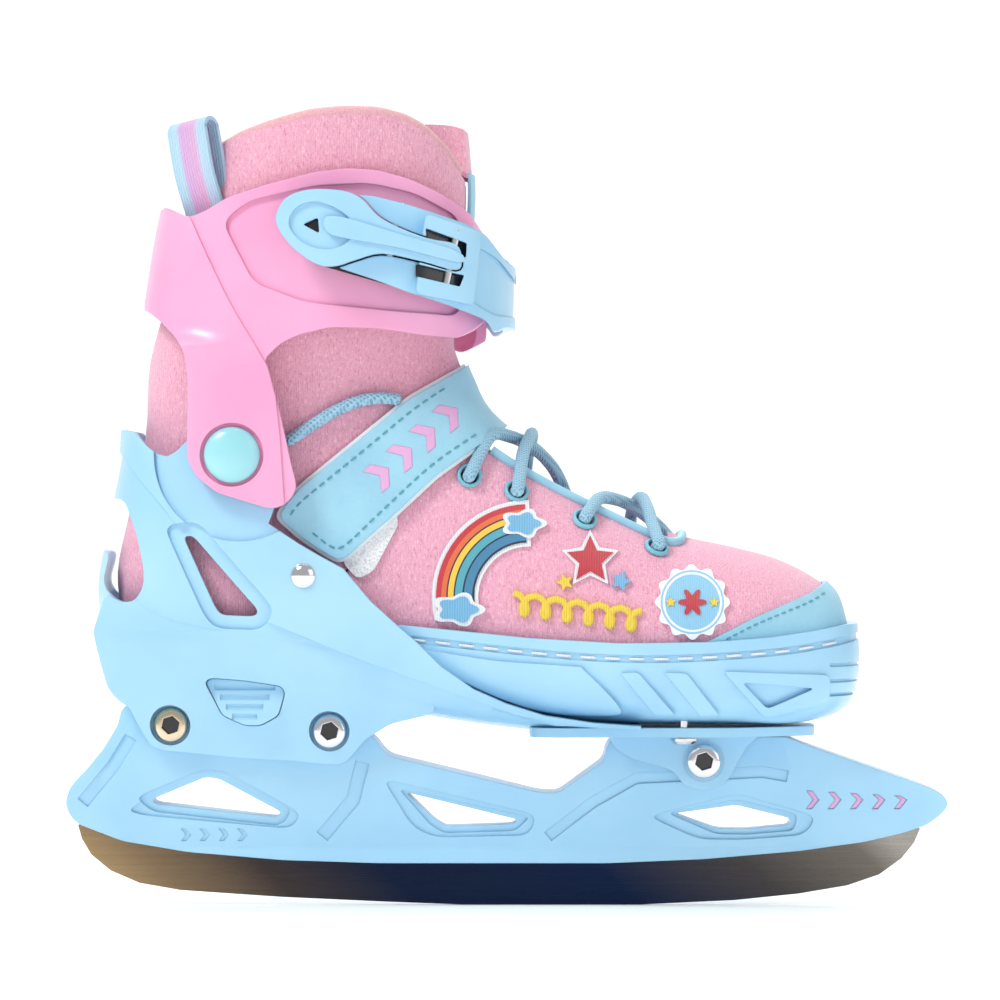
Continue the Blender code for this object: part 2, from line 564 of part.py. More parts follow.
def make_guide_screw():
    top = SOLE_Z - TOE_LAYER - 0.9
    screw = turned("screw", [
        (0.0, top), (1.5, top), (1.5, TRAY_BOTTOM - GAP), (4.4, TRAY_BOTTOM - GAP), (4.4, TRAY_BOTTOM - 1.2),
        (3.2, TRAY_BOTTOM - 2.2), (0.0, TRAY_BOTTOM - 2.2),
    ], (SCREW_X, SCREW_Y, 0), (0, 0, 1), 14)
    return as_part(screw, "guide_screw", CHROME)


def floor_z(x, offset):
    """Height of the sole along its middle line, at an offset from the boot volume."""
    line = [ring_points(station, offset, 2)[1] for station in BOOT[2:14]]
    for ahead, behind in zip(line, line[1:]):
        if behind.x <= x <= ahead.x:
            share = (x - behind.x) / (ahead.x - behind.x)
            return behind.z + (ahead.z - behind.z) * share
    return line[-1].z


def make_size_rail():
    """A thin notched rail under the sole that the size latch reaches."""
    stops = [-86.0, -70.0, -60.2, -50.0, -44.8]
    low = [(x, floor_z(x, REAR_INNER) + 1.0) for x in stops]
    high = [(x, floor_z(x, REAR_INNER) + 1.9) for x in reversed(stops)]
    rail = plate("size_rail", [low + high], -8.5, 8.5)
    for index in range(4):
        x = BUTTON[0] - SIZE_TRAVEL / 3 * index + 7.0
        boolean(rail, box("notch", (x - 2.0, -12.0, 55.0), (x + 2.0, -6.9, 85.0)))
    return as_part(rail, "size_rail", DARK)


def button_outline():
    x, z = BUTTON
    return rounded([(x - 12.3, z + 6.0), (x - 10.5, z + 7.2), (x, z + 6.4), (x + 11.5, z + 4.6), (x + 12.6, z + 2.5),
                    (x + 10.5, z - 4.5), (x + 5.0, z - 7.6), (x, z - 7.6), (x - 7.0, z - 4.4)], 1.0, 2)


def make_size_button():
    x, z = BUTTON
    outer = -LUG_HALF_WIDTH - 7.4
    inner = outer + 3.0
    button = plate("button", [button_outline()], outer, inner)
    for number in range(3):
        level = z + 4.2 - 3.7 * number
        half = 9.0 - 2.0 * number
        boolean(button, box("groove", (x - half, outer - 1, level - 0.6), (x + half, outer + 0.8, level + 0.6)))
    latch = box("latch", (x - 3.6, outer + 1.5, z + 5.0), (x + 3.6, -12.4, z + 7.0))
    boolean(button, latch, "UNION")
    return as_part(button, "size_button", BLUE)


def make_button_spring():
    """Four turns of wire between the button and its pocket's floor."""
    turns, per_turn = 3, 10
    start = -LUG_HALF_WIDTH - 4.4 + 0.6
    end = -HOLDER_HALF_WIDTH - 4.0 - 0.7
    curve = bpy.data.curves.new("spring", "CURVE")
    curve.dimensions = "3D"
    curve.bevel_depth = 0.35 * MM
    curve.bevel_resolution = 1
    curve.use_fill_caps = True
    count = turns * per_turn + 1
    spline = curve.splines.new("POLY")
    spline.points.add(count - 1)
    for index, point in enumerate(spline.points):
        angle = math.tau * index / per_turn
        y = start + (end - start) * index / (count - 1)
        point.co = ((BUTTON[0] + 3.4 * math.cos(angle)) * MM, y * MM,
                    (BUTTON[1] - 1.6 + 3.4 * math.sin(angle)) * MM, 1.0)
    spring = bpy.data.objects.new("button_spring", curve)
    curve.materials.append(CHROME)
    PARTS.objects.link(spring)
    return spring


def make_shell_rivets():
    for name, side in (("lateral", -1), ("medial", 1)):
        point, normal = shell_rivet_seat(side)
        rivet = turned("rivet_" + name, [
            (0.0, 3.0), (1.6, 2.85), (3.0, 2.2), (4.0, 1.2), (4.35, 0.6), (4.35, 0.35), (2.0, 0.35),
            (2.0, -REAR_OUTER + REAR_INNER - 0.9), (0.0, -REAR_OUTER + REAR_INNER - 0.9),
        ], point, normal)
        as_part(rivet, "shell_rivet_" + name, CHROME)


# ---------------------------------------------------------------- cuff and its hinge

CUFF_SIDE = [(-116.0, 219.0), (-108.6, 221.4), (-106.2, 222.0), (-104.0, 221.4), (-97.0, 217.8), (-91.0, 220.0),
             (-84.8, 223.7), (-71.7, 227.8), (-57.0, 231.6), (-47.0, 232.8), (-37.4, 232.2), (-27.5, 229.6),
             (-17.6, 225.2), (-9.0, 219.8), (-3.4, 212.0)]
CUFF_LOWER = [(-22.7, 180.8), (-37.4, 182.9), (-52.0, 183.3), (-61.8, 181.0), (-67.8, 178.2), (-72.8, 173.4),
              (-71.7, 170.6), (-67.8, 155.8), (-64.6, 141.0), (-62.7, 133.6), (-64.2, 130.0), (-67.8, 127.0),
              (-71.7, 126.7), (-87.4, 131.5), (-94.0, 136.5), (-96.8, 142.0), (-97.0, 146.0), (-96.6, 165.8),
              (-97.9, 175.7), (-101.1, 180.5), (-106.9, 186.2), (-111.0, 189.2), (-118.0, 191.6)]


def make_cuff():
    lateral = CUFF_SIDE + [(2.0, 206.0), (2.0, 192.0), (-7.6, 182.8), (-12.8, 180.2)] + CUFF_LOWER
    medial = CUFF_SIDE + [(2.0, 206.0), (2.0, 184.0), (-6.0, 179.4), (-11.5, 176.8), (-17.5, 179.6)] + CUFF_LOWER
    cuff = loft("cuff", CUFF, 0.0, 36)
    boolean(cuff, loft("cuff_hollow", CUFF, -CUFF_WALL, 36, (5, 5)))
    sides = plate("cuff_lateral", [lateral], -70, 1.0)
    boolean(sides, plate("cuff_medial", [medial], -1.0, 70), "UNION")
    boolean(cuff, sides, "INTERSECT")
    boolean(cuff, box("cuff_front", (-40, -12.0, 150), (20, 12.0, 260)))
    x, z = PIVOT
    boolean(cuff, rod("cuff_bore", (x, -60, z), (x, 60, z), PIVOT_RADIUS + GAP, 20))
    for side in (-1, 1):
        seat = side * (CUFF_OUTER_Y - 1.3)
        boolean(cuff, rod("cap_recess", (x, seat, z), (x, side * 60, z), CAP_RADIUS + 1.1, 28))
    for number, place in enumerate((BUCKLE_RIVET, WRAP_RIVET)):
        side = (-1, 1)[number]
        point, normal = surface_point(CUFF, *place, side, 0.0, count=36)
        boolean(cuff, rod("buckle_bore%d" % number, point - normal * 9, point + normal * 9, 1.8 + GAP, 12))
    return as_part(cuff, "cuff", PINK)


def make_pivots():
    x, z = PIVOT
    wall_in = ANKLE_HALF_WIDTH + REAR_INNER - 1.9
    for name, side in (("lateral", -1), ("medial", 1)):
        seat = CUFF_OUTER_Y - 1.3
        bolt = turned("pivot_bolt_" + name, [
            (0.0, seat + 1.3), (PIVOT_RADIUS + 1.4, seat + 1.3), (PIVOT_RADIUS + 1.4, seat + GAP),
            (PIVOT_RADIUS, seat + GAP), (PIVOT_RADIUS, wall_in), (7.0, wall_in), (7.0, wall_in - 1.3),
            (0.0, wall_in - 1.3),
        ], (x, 0, z), (0, side, 0))
        as_part(bolt, "pivot_bolt_" + name, CHROME)
        cap = turned("pivot_cap_" + name, [
            (0.0, seat + 4.2), (2.6, seat + 4.05), (5.2, seat + 3.6), (7.4, seat + 2.8), (CAP_RADIUS, seat + 1.7),
            (CAP_RADIUS, seat + GAP), (PIVOT_RADIUS + 1.8, seat + GAP), (PIVOT_RADIUS + 1.8, seat + 1.7),
            (0.0, seat + 1.7),
        ], (x, 0, z), (0, side, 0), 28)
        as_part(cap, "pivot_cap_" + name, MINT)


# ---------------------------------------------------------------- buckle

BUCKLE_RIVET = (-47.0, 214.0)
WRAP_RIVET = (-42.0, 211.0)
BASE_OFFSET = (GAP, 1.7)
LADDER_OFFSET = (2.1, 4.0)
BAND_OFFSET = (4.6, 4.6 + BAND_THICKNESS)
LEVER_OFFSET = (BAND_OFFSET[1] + 0.5, BAND_OFFSET[1] + 0.5 + LEVER_THICKNESS)


def make_buckle_base():
    outline = rounded([(-66, 222), (-62, 199), (-24, 189), (-20, 213)], 5)
    base = skin("buckle_base", CUFF[2:], *BASE_OFFSET, outline, high=0.0, open_ends=(3, 3), count=36)
    return as_part(base, "buckle_base", BLUE)


def make_ladder_strap():
    outline = rounded([(-60, 221.2), (-58, 211.2), (-5.5, 196.8), (-3.2, 206.6)], 3)
    strap = skin("ladder_strap", CUFF[2:], *LADDER_OFFSET, outline, high=-3.0, open_ends=(3, 3), count=36)
    return as_part(strap, "ladder_strap", DARK)


def make_buckle_rivets():
    point, normal = surface_point(CUFF, *BUCKLE_RIVET, -1, 0.0, count=36)
    inner = turned("buckle_rivet", [(0.0, -0.2), (1.5, -0.2), (1.5, -CUFF_WALL - 0.5), (3.4, -CUFF_WALL - 0.5),
                                    (3.4, -CUFF_WALL - 1.4), (0.0, -CUFF_WALL - 1.4)], point, normal, 14)
    as_part(inner, "buckle_rivet", CHROME)
    point, normal = surface_point(CUFF, *WRAP_RIVET, 1, 0.0, count=36)
    top = BAND_OFFSET[1]
    outer = turned("wrap_rivet", [
        (0.0, top + 2.4), (2.2, top + 2.2), (4.2, top + 1.2), (4.6, top + 0.5), (1.4, top + 0.5),
        (1.4, -CUFF_WALL - 0.6), (3.4, -CUFF_WALL - 0.6), (3.4, -CUFF_WALL - 1.5), (0.0, -CUFF_WALL - 1.5),
    ], point, normal, 16)
    as_part(outer, "wrap_rivet", CHROME)


BAND_TOP = [(-44.5, 224.0), (-38.4, 223.6), (-27.8, 221.0), (-9.3, 215.3), (-3.8, 212.4), (2.2, 205.0), (14.0, 198.0)]
BAND_BOTTOM = [(14.0, 183.0), (2.9, 184.0), (-1.3, 181.8), (-3.5, 185.6), (-8.3, 187.5), (-17.3, 190.7),
               (-27.8, 193.9), (-38.4, 197.8), (-50.0, 201.6)]


def make_wrap_strap():
    """The buckle frame and the strap round the shin, with a notch for the lever and cheeks for its pin."""
    strap = skin("wrap_strap", CUFF[2:], *BAND_OFFSET, BAND_TOP + BAND_BOTTOM, open_ends=(3, 3), count=36)
    notch = plate("lever_notch", [[(-60, 219.5), (-60, 205.5), (-36, 201.0), (-23.6, 198.6), (-12.4, 196.0),
                                   (-9.6, 205.0), (-10.4, 208.8), (-22.0, 213.2), (-31.0, 216.4), (-42.0, 218.0)]],
                  -70, 0)
    cheeks = loft("cheeks", CUFF[2:], LEVER_OFFSET[1] + 0.2, 36)
    boolean(cheeks, loft("cheeks_hollow", CUFF[2:], BAND_OFFSET[1] - 0.6, 36, (3, 3)))
    px, pz = LEVER_PIN
    frame = rounded([(px - 8, pz + 13.6), (px + 9.5, pz + 8.4), (px + 7.0, pz - 14.6), (px - 11, pz - 11.4)], 2)
    boolean(cheeks, plate("cheek_outline", [frame], -70, 0), "INTERSECT")
    boolean(strap, cheeks, "UNION")
    boolean(strap, notch)
    boolean(strap, box("medial_end", (-90, 0, 150), (WRAP_SPLIT_X + 0.6, 70, 260)))
    for name, centre, offset in (("lever", LEVER_PIN, lever_pin_offset()), ("pawl", PAWL_PIN, pawl_pin_offset())):
        start, end = pin_ends(centre, offset, 9.6 if name == "lever" else 13.5)
        boolean(strap, rod(name + "_pin_bore", start, end, 1.3 + GAP, 12))
    return as_part(strap, "wrap_strap", BLUE)


def lever_pin_offset():
    return (LEVER_OFFSET[0] + LEVER_OFFSET[1]) / 2


def pawl_pin_offset():
    return (BAND_OFFSET[0] + BAND_OFFSET[1]) / 2


def pin_ends(centre, offset, half):
    point, _ = surface_point(CUFF[2:], *centre, -1, offset, count=36)
    return point - PIN_AXIS * half, point + PIN_AXIS * half


def make_wrap_anchor():
    outline = rounded([(-52, 220.5), (-50, 200.5), (20, 181.0), (20, 203.0)], 4)
    anchor = skin("wrap_anchor", CUFF[2:], 1.2, BAND_OFFSET[1], outline, low=0.0, open_ends=(3, 3), count=36)
    boolean(anchor, box("anchor_end", (WRAP_SPLIT_X - 0.6, -1, 150), (40, 70, 260)))
    point, normal = surface_point(CUFF, *WRAP_RIVET, 1, 0.0, count=36)
    boolean(anchor, rod("anchor_bore", point - normal * 9, point + normal * 14, 1.8 + GAP, 12))
    return as_part(anchor, "wrap_anchor", BLUE)


def make_buckle_lever():
    px, pz = LEVER_PIN
    outline = [(-68.6, 215.6), (-67.8, 219.6), (-64.6, 223.4), (-58.0, 225.4), (-48.0, 225.0), (-42.0, 222.4),
               (-38.0, 217.8), (-30.4, 213.6), (-21.5, 210.4), (px + 1.4, pz + 4.2), (px + 3.2, pz - 0.4),
               (px + 1.4, pz - 3.8), (-24.0, 203.4), (-35.8, 205.6), (-44.0, 203.6), (-49.6, 201.8),
               (-55.4, 202.0), (-62.0, 206.2), (-66.6, 211.2)]
    eye = rounded([(-62.0, 216.6), (-53.6, 218.4), (-51.0, 212.6), (-57.6, 211.0)], 2.5)
    lever = skin("lever", CUFF[2:], *LEVER_OFFSET, outline, high=0.0, holes=[eye], open_ends=(3, 3), count=36)
    start, end = pin_ends(LEVER_PIN, lever_pin_offset(), 14)
    boolean(lever, rod("lever_bore", start, end, 1.3 + GAP, 12))
    return as_part(lever, "buckle_lever", BLUE)


def make_pins():
    lever_pin = rod("lever_pin", *pin_ends(LEVER_PIN, lever_pin_offset(), 9.0), 1.2, 12)
    as_part(lever_pin, "lever_pin", CHROME)
    pawl_pin = rod("pawl_pin", *pin_ends(PAWL_PIN, pawl_pin_offset(), 12.8), 1.2, 12)
    as_part(pawl_pin, "pawl_pin", CHROME)


def make_buckle_pawl():
    point, normal = surface_point(CUFF[2:], *PAWL_PIN, -1, pawl_pin_offset(), count=36)
    forward = PIN_AXIS.cross(normal).normalized()
    if forward.x < 0:
        forward = -forward
    pawl = rod("pawl", point - PIN_AXIS * 3.6, point + PIN_AXIS * 3.6, 2.1, 14)
    tooth = bmesh.new()
    bmesh.ops.create_cube(tooth, size=1.0)
    turn = Matrix((forward, normal, PIN_AXIS)).transposed().to_4x4()
    place = Matrix.Translation((point + forward * 4.6 - normal * 0.7) * MM) @ turn
    bmesh.ops.transform(tooth, matrix=place @ Matrix.Diagonal((8.0 * MM, 1.6 * MM, 7.2 * MM, 1.0)), verts=tooth.verts[:])
    boolean(pawl, mesh_object("pawl_tooth", tooth), "UNION")
    boolean(pawl, rod("pawl_bore", point - PIN_AXIS * 9, point + PIN_AXIS * 9, 1.2 + GAP, 12))
    return as_part(pawl, "buckle_pawl", CHROME)


# ---------------------------------------------------------------- soft boot

VAMP_BACK = [(8.0, 160.0), (-0.6, 149.8), (-19.2, 136.6), (-34.2, 122.6), (-43.5, 112.0), (-50.0, 103.0),
             (-55.0, 50.0)]
FLEX_LOW, FLEX_HIGH = 19.5, 32.0          # degrees round the pivot, at the front
REAR_LOW, REAR_HIGH = 172.0, 166.0        # the same, at the back
FLEX_RADIUS = 29.0


def about_pivot(radius, degrees):
    angle = math.radians(degrees)
    return (PIVOT[0] + radius * math.cos(angle), PIVOT[1] + radius * math.sin(angle))


def arc_about_pivot(radius, start, end, steps=8):
    return [about_pivot(radius, start + (end - start) * step / steps) for step in range(steps + 1)]


def make_boot_heel():
    """Heel and ankle padding, up to the flex line round the pivot."""
    ankle = [about_pivot(70, REAR_LOW)] + arc_about_pivot(FLEX_RADIUS, REAR_LOW, FLEX_LOW)
    front = [about_pivot(120, FLEX_LOW), (20.0, 166.0), (8.0, 160.6)]
    back = [(x - 0.8, z) for x, z in VAMP_BACK[1:]]
    outline = ankle + front + back + [(-150.0, 50.0)]
    heel = skin("boot_heel", BOOT[4:], -LINER_WALL, 0.0, outline)
    return as_part(heel, "boot_heel", TEXTILE)


def make_boot_collar():
    """Collar padding that moves with the cuff, open at the front for the tongue."""
    low = arc_about_pivot(FLEX_RADIUS + 0.8, REAR_HIGH, FLEX_HIGH)
    top = [(-92.0, 241.8), (-87.4, 244.6), (-80.0, 248.4), (-71.7, 251.2), (-60.0, 254.6), (-52.0, COLLAR_TOP - 0.4),
           (-46.0, COLLAR_TOP - 0.4), (-37.4, 254.8), (-29.4, 251.4), (-23.7, 247.6), (-16.6, 242.6), (6.0, 228.0)]
    outline = [about_pivot(75, REAR_HIGH)] + low + [about_pivot(110, FLEX_HIGH)] + list(reversed(top)) + [(-130.0, 238.0)]
    collar = skin("boot_collar", BOOT[11:], -LINER_WALL, 0.0, outline, open_ends=(8, 8))
    boolean(collar, box("collar_front", (-45, -11.5, 150), (20, 11.5, 270)))
    return as_part(collar, "boot_collar", TEXTILE)


def make_vamp():
    outline = VAMP_BACK + [(125.0, 50.0), (125.0, 160.0)]
    vamp = skin("vamp", BOOT[:13], -LINER_WALL, 0.0, outline)
    boolean(vamp, box("throat", (-60, -THROAT_HALF, 100), (THROAT_END, THROAT_HALF, 170)))
    for point, normal in eyelet_seats():
        boolean(vamp, rod("eyelet_bore", point - normal * 9, point + normal * 6, LACE_RADIUS + 0.8, 12))
    return as_part(vamp, "vamp", TEXTILE)


def make_toe_cap():
    outline = [(125.0, 106.5), (125.0, 72.0), (62.0, 72.0), (65.0, 84.8), (73.3, 89.0), (80.0, 92.5), (89.3, 96.3),
               (98.9, 100.2), (107.0, 104.8)]
    cap = skin("toe_cap", BOOT[:8], GAP, TOE_LAYER - GAP, outline)
    return as_part(cap, "toe_cap", LEATHER)


def make_tongues():
    outline = [(-4.0, 148.0), (-9.0, 128.0), (20.0, 116.0), (60.0, 98.0), (66.0, 125.0), (30.0, 150.0), (0.0, 165.0)]
    under = LINER_WALL + 2 * LACE_RADIUS + 2.0
    lower = skin("tongue_lower", BOOT[3:13], -under - 3.0, -under, outline, low=-24, high=24)
    as_part(lower, "tongue_lower", LEATHER)
    high = [(-30.0, 251.0), (-18.0, 250.0), (6.0, 246.0), (6.0, 190.0), (-30.0, 190.0)]
    upper = skin("tongue_upper", BOOT[14:], -LINER_WALL - 1.0, 0.4, high, low=-11.1, high=11.1, open_ends=(8, 8))
    boolean(upper, box("tongue_back", (-140, -20, 150), (-45, 20, 270)))
    as_part(upper, "tongue_upper", LEATHER)


def make_insole():
    stops = [100.0, 90.0, 75.0, 35.0, 14.0, -8.0, -32.0, -58.0, -84.0, -106.0]
    low = [(x, floor_z(x, -LINER_WALL) + 0.4) for x in stops]
    high = [(x, floor_z(x, -LINER_WALL) + 3.4) for x in reversed(stops)]
    insole = plate("insole", [low + high], -60, 60)
    boolean(insole, loft("insole_room", BOOT, -LINER_WALL - 0.6), "INTERSECT")
    return as_part(insole, "insole", WHITE)


def make_ankle_piping():
    """A corded seam on the lateral and medial sides of the ankle."""
    route = [(-64.5, 148.4), (-60.0, 150.2), (-54.0, 152.2), (-47.5, 154.2), (-42.0, 156.0), (-38.5, 157.2)]
    for name, side in (("lateral", -1), ("medial", 1)):
        points = [surface_point(BOOT, x, z, side, 2.6)[0] for x, z in route]
        as_part(tube("piping_" + name, points, 2.0), "ankle_piping_" + name, CORD)


def tube(name, points, radius, resolution=1):
    curve = bpy.data.curves.new(name, "CURVE")
    curve.dimensions = "3D"
    curve.bevel_depth = radius * MM
    curve.bevel_resolution = resolution
    curve.use_fill_caps = True
    spline = curve.splines.new("POLY")
    spline.points.add(len(points) - 1)
    for target, point in zip(spline.points, points):
        target.co = (*(Vector(point) * MM), 1.0)
    made = bpy.data.objects.new(name, curve)
    CUTTERS.objects.link(made)
    return made


# ---------------------------------------------------------------- lacing

def eyelet_seats():
    seats = [surface_point(BOOT, x, z, -1, 0.0, EYELET_RADIUS) for x, z in LATERAL_EYELETS]
    return seats + [surface_point(BOOT, x, z, 1, 0.0, EYELET_RADIUS) for x, z in MEDIAL_EYELETS]


def make_eyelets():
    names = ["eyelet_lateral_%d" % n for n in range(1, 5)] + ["eyelet_medial_%d" % n for n in range(1, 5)]
    inner = LACE_RADIUS + 0.8
    for name, (point, normal) in zip(names, eyelet_seats()):
        ring = turned(name, [
            (inner, 1.0), (inner + 0.4, 1.5), (EYELET_RADIUS - 0.4, 1.2), (EYELET_RADIUS, GAP), (inner, GAP),
            (inner, 1.0),
        ], point, normal, 16)
        as_part(ring, name, CORD)


def over_throat(start, end, offset, bulge=0.0):
    """Points across the top of the foot between two side points, at an offset from the boot."""
    middle = []
    for share in (0.2, 0.35, 0.5, 0.65, 0.8):
        x = start.x + (end.x - start.x) * share + bulge * math.sin(math.pi * share)
        y = start.y + (end.y - start.y) * share
        middle.append(Vector((x, y, top_height(x, y, offset))))
    return middle


def top_height(x, y, offset):
    """Height of the boot's top above a place on the foot, at an offset."""
    best = None
    for low, high in zip(BOOT[2:9], BOOT[3:10]):
        for step in range(8):
            share = step / 8
            for a, b in zip(ring_points(low, offset, 96), ring_points(high, offset, 96)):
                point = a.lerp(b, share)
                if point.z < 100:
                    continue
                miss = (point.x - x) ** 2 + (point.y - y) ** 2
                if best is None or miss < best[0]:
                    best = (miss, point.z)
    return best[1]


def make_lace():
    """One lace: over the throat to the medial side, down, under the flaps and up again."""
    seats = eyelet_seats()
    lateral, medial = seats[:4], seats[4:]
    above, below = LACE_RADIUS + 2.5, -LINER_WALL - LACE_RADIUS - 0.5
    route = []
    for row in (3, 2, 1, 0):
        (out_point, out_normal), (in_point, in_normal) = lateral[row], medial[row]
        route += [out_point + out_normal * below, out_point, out_point + out_normal * above]
        bulge = TOP_ROW_BULGE if row == 3 else 0.0
        route += over_throat(out_point + out_normal * above, in_point + in_normal * above, above, bulge)
        route += [in_point + in_normal * above, in_point, in_point + in_normal * below]
        if row:
            following, normal = lateral[row - 1]
            route += over_throat(in_point + in_normal * below, following + normal * below, below)
    lace = tube("lace", route, LACE_RADIUS)
    return as_part(lace, "lace", CORD)


# ---------------------------------------------------------------- straps, loop and patches

def strap_outline():
    return [(-69.0, 124.2), (-62.7, 132.4), (-42.0, 149.4), (-27.5, 161.4), (-11.8, 170.5), (0.0, 179.9),
            (14.0, 161.4), (-0.6, 150.4), (-19.2, 137.2), (-34.2, 123.2), (-43.6, 115.0), (-47.4, 111.4),
            (-50.6, 110.6), (-55.4, 113.6), (-61.4, 117.4)]


def make_instep_strap():
    inner = 1.7
    outer = inner + STRAP_THICKNESS
    strap = skin("instep_strap", BOOT[6:17], inner, outer, strap_outline(), low=FLAP_SPLIT_Y + 0.6, open_ends=(0, 8))
    as_part(strap, "instep_strap", LEATHER)
    flap = skin("instep_flap", BOOT[6:17], inner, outer, strap_outline(), high=FLAP_SPLIT_Y - 0.6, open_ends=(0, 8))
    as_part(flap, "instep_flap", LEATHER)


def make_loop_pad():
    outline = rounded([(-48.6, 109.4), (-44.0, 104.4), (-39.0, 107.0), (-31.0, 122.0), (-34.0, 133.0), (-46.0, 120.0)], 2)
    pad = skin("loop_pad", BOOT[6:14], GAP, 1.4, outline, high=0.0, open_ends=(0, 8))
    return as_part(pad, "loop_pad", WHITE)


def make_pull_loop():
    """A folded ribbon at the back of the collar, tall enough for a finger."""
    half_width, half_gap, thickness = 7.6, 4.0, 1.2
    bottom, top = 226.0, 250.0
    outer, inner = half_gap + thickness, half_gap
    bend = [math.radians(a) for a in range(0, 181, 30)]
    rise = [(-outer, bottom)] + [(-outer * math.cos(a), top - outer + outer * math.sin(a)) for a in bend]
    fall = [(inner * math.cos(a), top - outer + inner * math.sin(a)) for a in bend]
    rise += [(outer, bottom), (inner, bottom)]
    fall += [(-inner, bottom)]
    ribbon = plate("pull_loop", [rise + fall], -half_width, half_width, plane="YZ")
    turn = Matrix.Rotation(math.radians(-50), 4, "Z")
    place = Matrix.Translation((-96.6 * MM, -26.6 * MM, 0)) @ turn
    ribbon.data.transform(place)
    return as_part(ribbon, "pull_loop", RIBBON)


def rainbow_outline():
    cx, cz, outer, inner, start, end, steps = 9.6, 99.0, 29.0, 17.0, 92.0, 192.0, 10
    angles = [math.radians(start + (end - start) * step / steps) for step in range(steps + 1)]
    band = [(cx + outer * math.cos(a), cz + outer * math.sin(a)) for a in angles]
    return band + [(cx + inner * math.cos(a), cz + inner * math.sin(a)) for a in reversed(angles)]


def star_outline(cx, cz, outer, inner, points, phase=90.0):
    result = []
    for index in range(2 * points):
        angle = math.radians(phase + 180.0 * index / points)
        radius = outer if index % 2 == 0 else inner
        result.append((cx + radius * math.cos(angle), cz + radius * math.sin(angle)))
    return result


def wave_outline():
    steps = 12
    upper, lower = [], []
    for step in range(steps + 1):
        share = step / steps
        x, z = 6.0 + 38.0 * share, 96.0 - 4.0 * share + 2.6 * math.sin(math.tau * 2 * share)
        upper.append((x, z + 2.4))
        lower.append((x, z - 2.4))
    return upper + list(reversed(lower))


def make_patches():
    scallops = [(60.8 + (11.0 + 0.8 * math.cos(12 * t)) * math.cos(t), 97.4 + (11.0 + 0.8 * math.cos(12 * t)) * math.sin(t))
                for t in [math.tau * step / 48 for step in range(48)]]
    shapes = {
        "patch_rainbow": (rainbow_outline(), RED),
        "patch_star": (star_outline(29.0, 110.6, 7.6, 3.4, 5), RED),
        "patch_wave": (wave_outline(), YELLOW),
        "patch_seal": (scallops, LEATHER),
    }
    for name, (outline, finish) in shapes.items():
        patch = skin(name, BOOT[2:11], GAP, 1.4, outline, high=0.0, open_ends=(0, 0))
        as_part(patch, name, finish)


def make_all():
    make_blade_holder()
    make_blade()
    make_frame_fasteners()
    make_rear_shell()
    make_toe_shell()
    make_guide_screw()
    make_size_rail()
    make_size_button()
    make_button_spring()
    make_shell_rivets()
    make_cuff()
    make_pivots()
    make_buckle_base()
    make_ladder_strap()
    make_buckle_rivets()
    make_wrap_strap()
    make_wrap_anchor()
    make_buckle_lever()
    make_pins()
    make_buckle_pawl()
    make_boot_heel()
    make_boot_collar()
    make_vamp()
    make_toe_cap()
    make_tongues()
    make_insole()
    make_ankle_piping()
    make_eyelets()
    make_lace()
    make_instep_strap()
    make_loop_pad()
    make_pull_loop()
    make_patches()


clear_scene()
make_collections()
make_all()
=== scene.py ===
"""Looks of the ice skate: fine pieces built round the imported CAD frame, their materials and the studio."""

import math

import bmesh
import bpy
from mathutils import Matrix, Vector
from mathutils.bvhtree import BVHTree


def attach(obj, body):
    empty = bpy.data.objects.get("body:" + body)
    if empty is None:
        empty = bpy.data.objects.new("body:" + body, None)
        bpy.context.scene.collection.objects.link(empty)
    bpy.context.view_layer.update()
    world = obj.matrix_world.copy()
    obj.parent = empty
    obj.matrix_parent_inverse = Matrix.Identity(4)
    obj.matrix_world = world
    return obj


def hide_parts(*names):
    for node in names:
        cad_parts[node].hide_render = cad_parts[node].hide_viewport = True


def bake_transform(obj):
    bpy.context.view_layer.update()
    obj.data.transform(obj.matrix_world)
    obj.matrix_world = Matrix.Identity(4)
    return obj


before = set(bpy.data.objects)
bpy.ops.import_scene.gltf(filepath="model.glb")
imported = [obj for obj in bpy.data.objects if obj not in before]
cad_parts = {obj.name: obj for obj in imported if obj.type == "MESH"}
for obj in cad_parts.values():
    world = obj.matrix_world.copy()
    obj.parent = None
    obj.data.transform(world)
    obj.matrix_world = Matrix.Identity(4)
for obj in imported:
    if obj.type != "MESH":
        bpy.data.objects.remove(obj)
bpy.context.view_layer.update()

MM = 0.001
COUNT = 72          # points round each cross-section
FINE = 4            # steps between two stations

# Offsets and places shared with the CAD part, in millimetres.
TOE_INNER, TOE_OUTER = 1.6, 4.4
REAR_INNER, REAR_OUTER = 4.8, 7.6
CUFF_OUTER_Y, CUFF_WALL = 40.2, 3.2
PIVOT = (-83, 143.4)
BOLTS = {"rear": (-103.4, 58.2), "middle": (-53.2, 56.3), "front": (65.2, 46.7)}
RIVET = (-60.8, 105.6)
BUTTON = (-79.7, 65.9)
LEVER_PIN = (-14.4, 204.5)
LUG_HALF = 17.4
BOLT_BORE, PIVOT_BORE = 3.3, 4.3
CUFF_SWEEP = 27       # the cuff turns inside this radius round its pivot
WIDE = 72             # further to each side than any piece reaches
TRAY_TOP, TRAY_BOTTOM = 57.6, 54.6
LATERAL_EYELETS = ((49.9, 113.9), (27.2, 122.9), (5.8, 131.8), (-9, 136.8))
MEDIAL_EYELETS = ((58, 111), (42, 117), (23, 124.6), (8, 131))
EYELETS = [(x, z, -1) for x, z in LATERAL_EYELETS] + [(x, z, 1) for x, z in MEDIAL_EYELETS]
RAINBOW_CENTRE, SEAL_CENTRE = (9.6, 99), (60.8, 97.4)

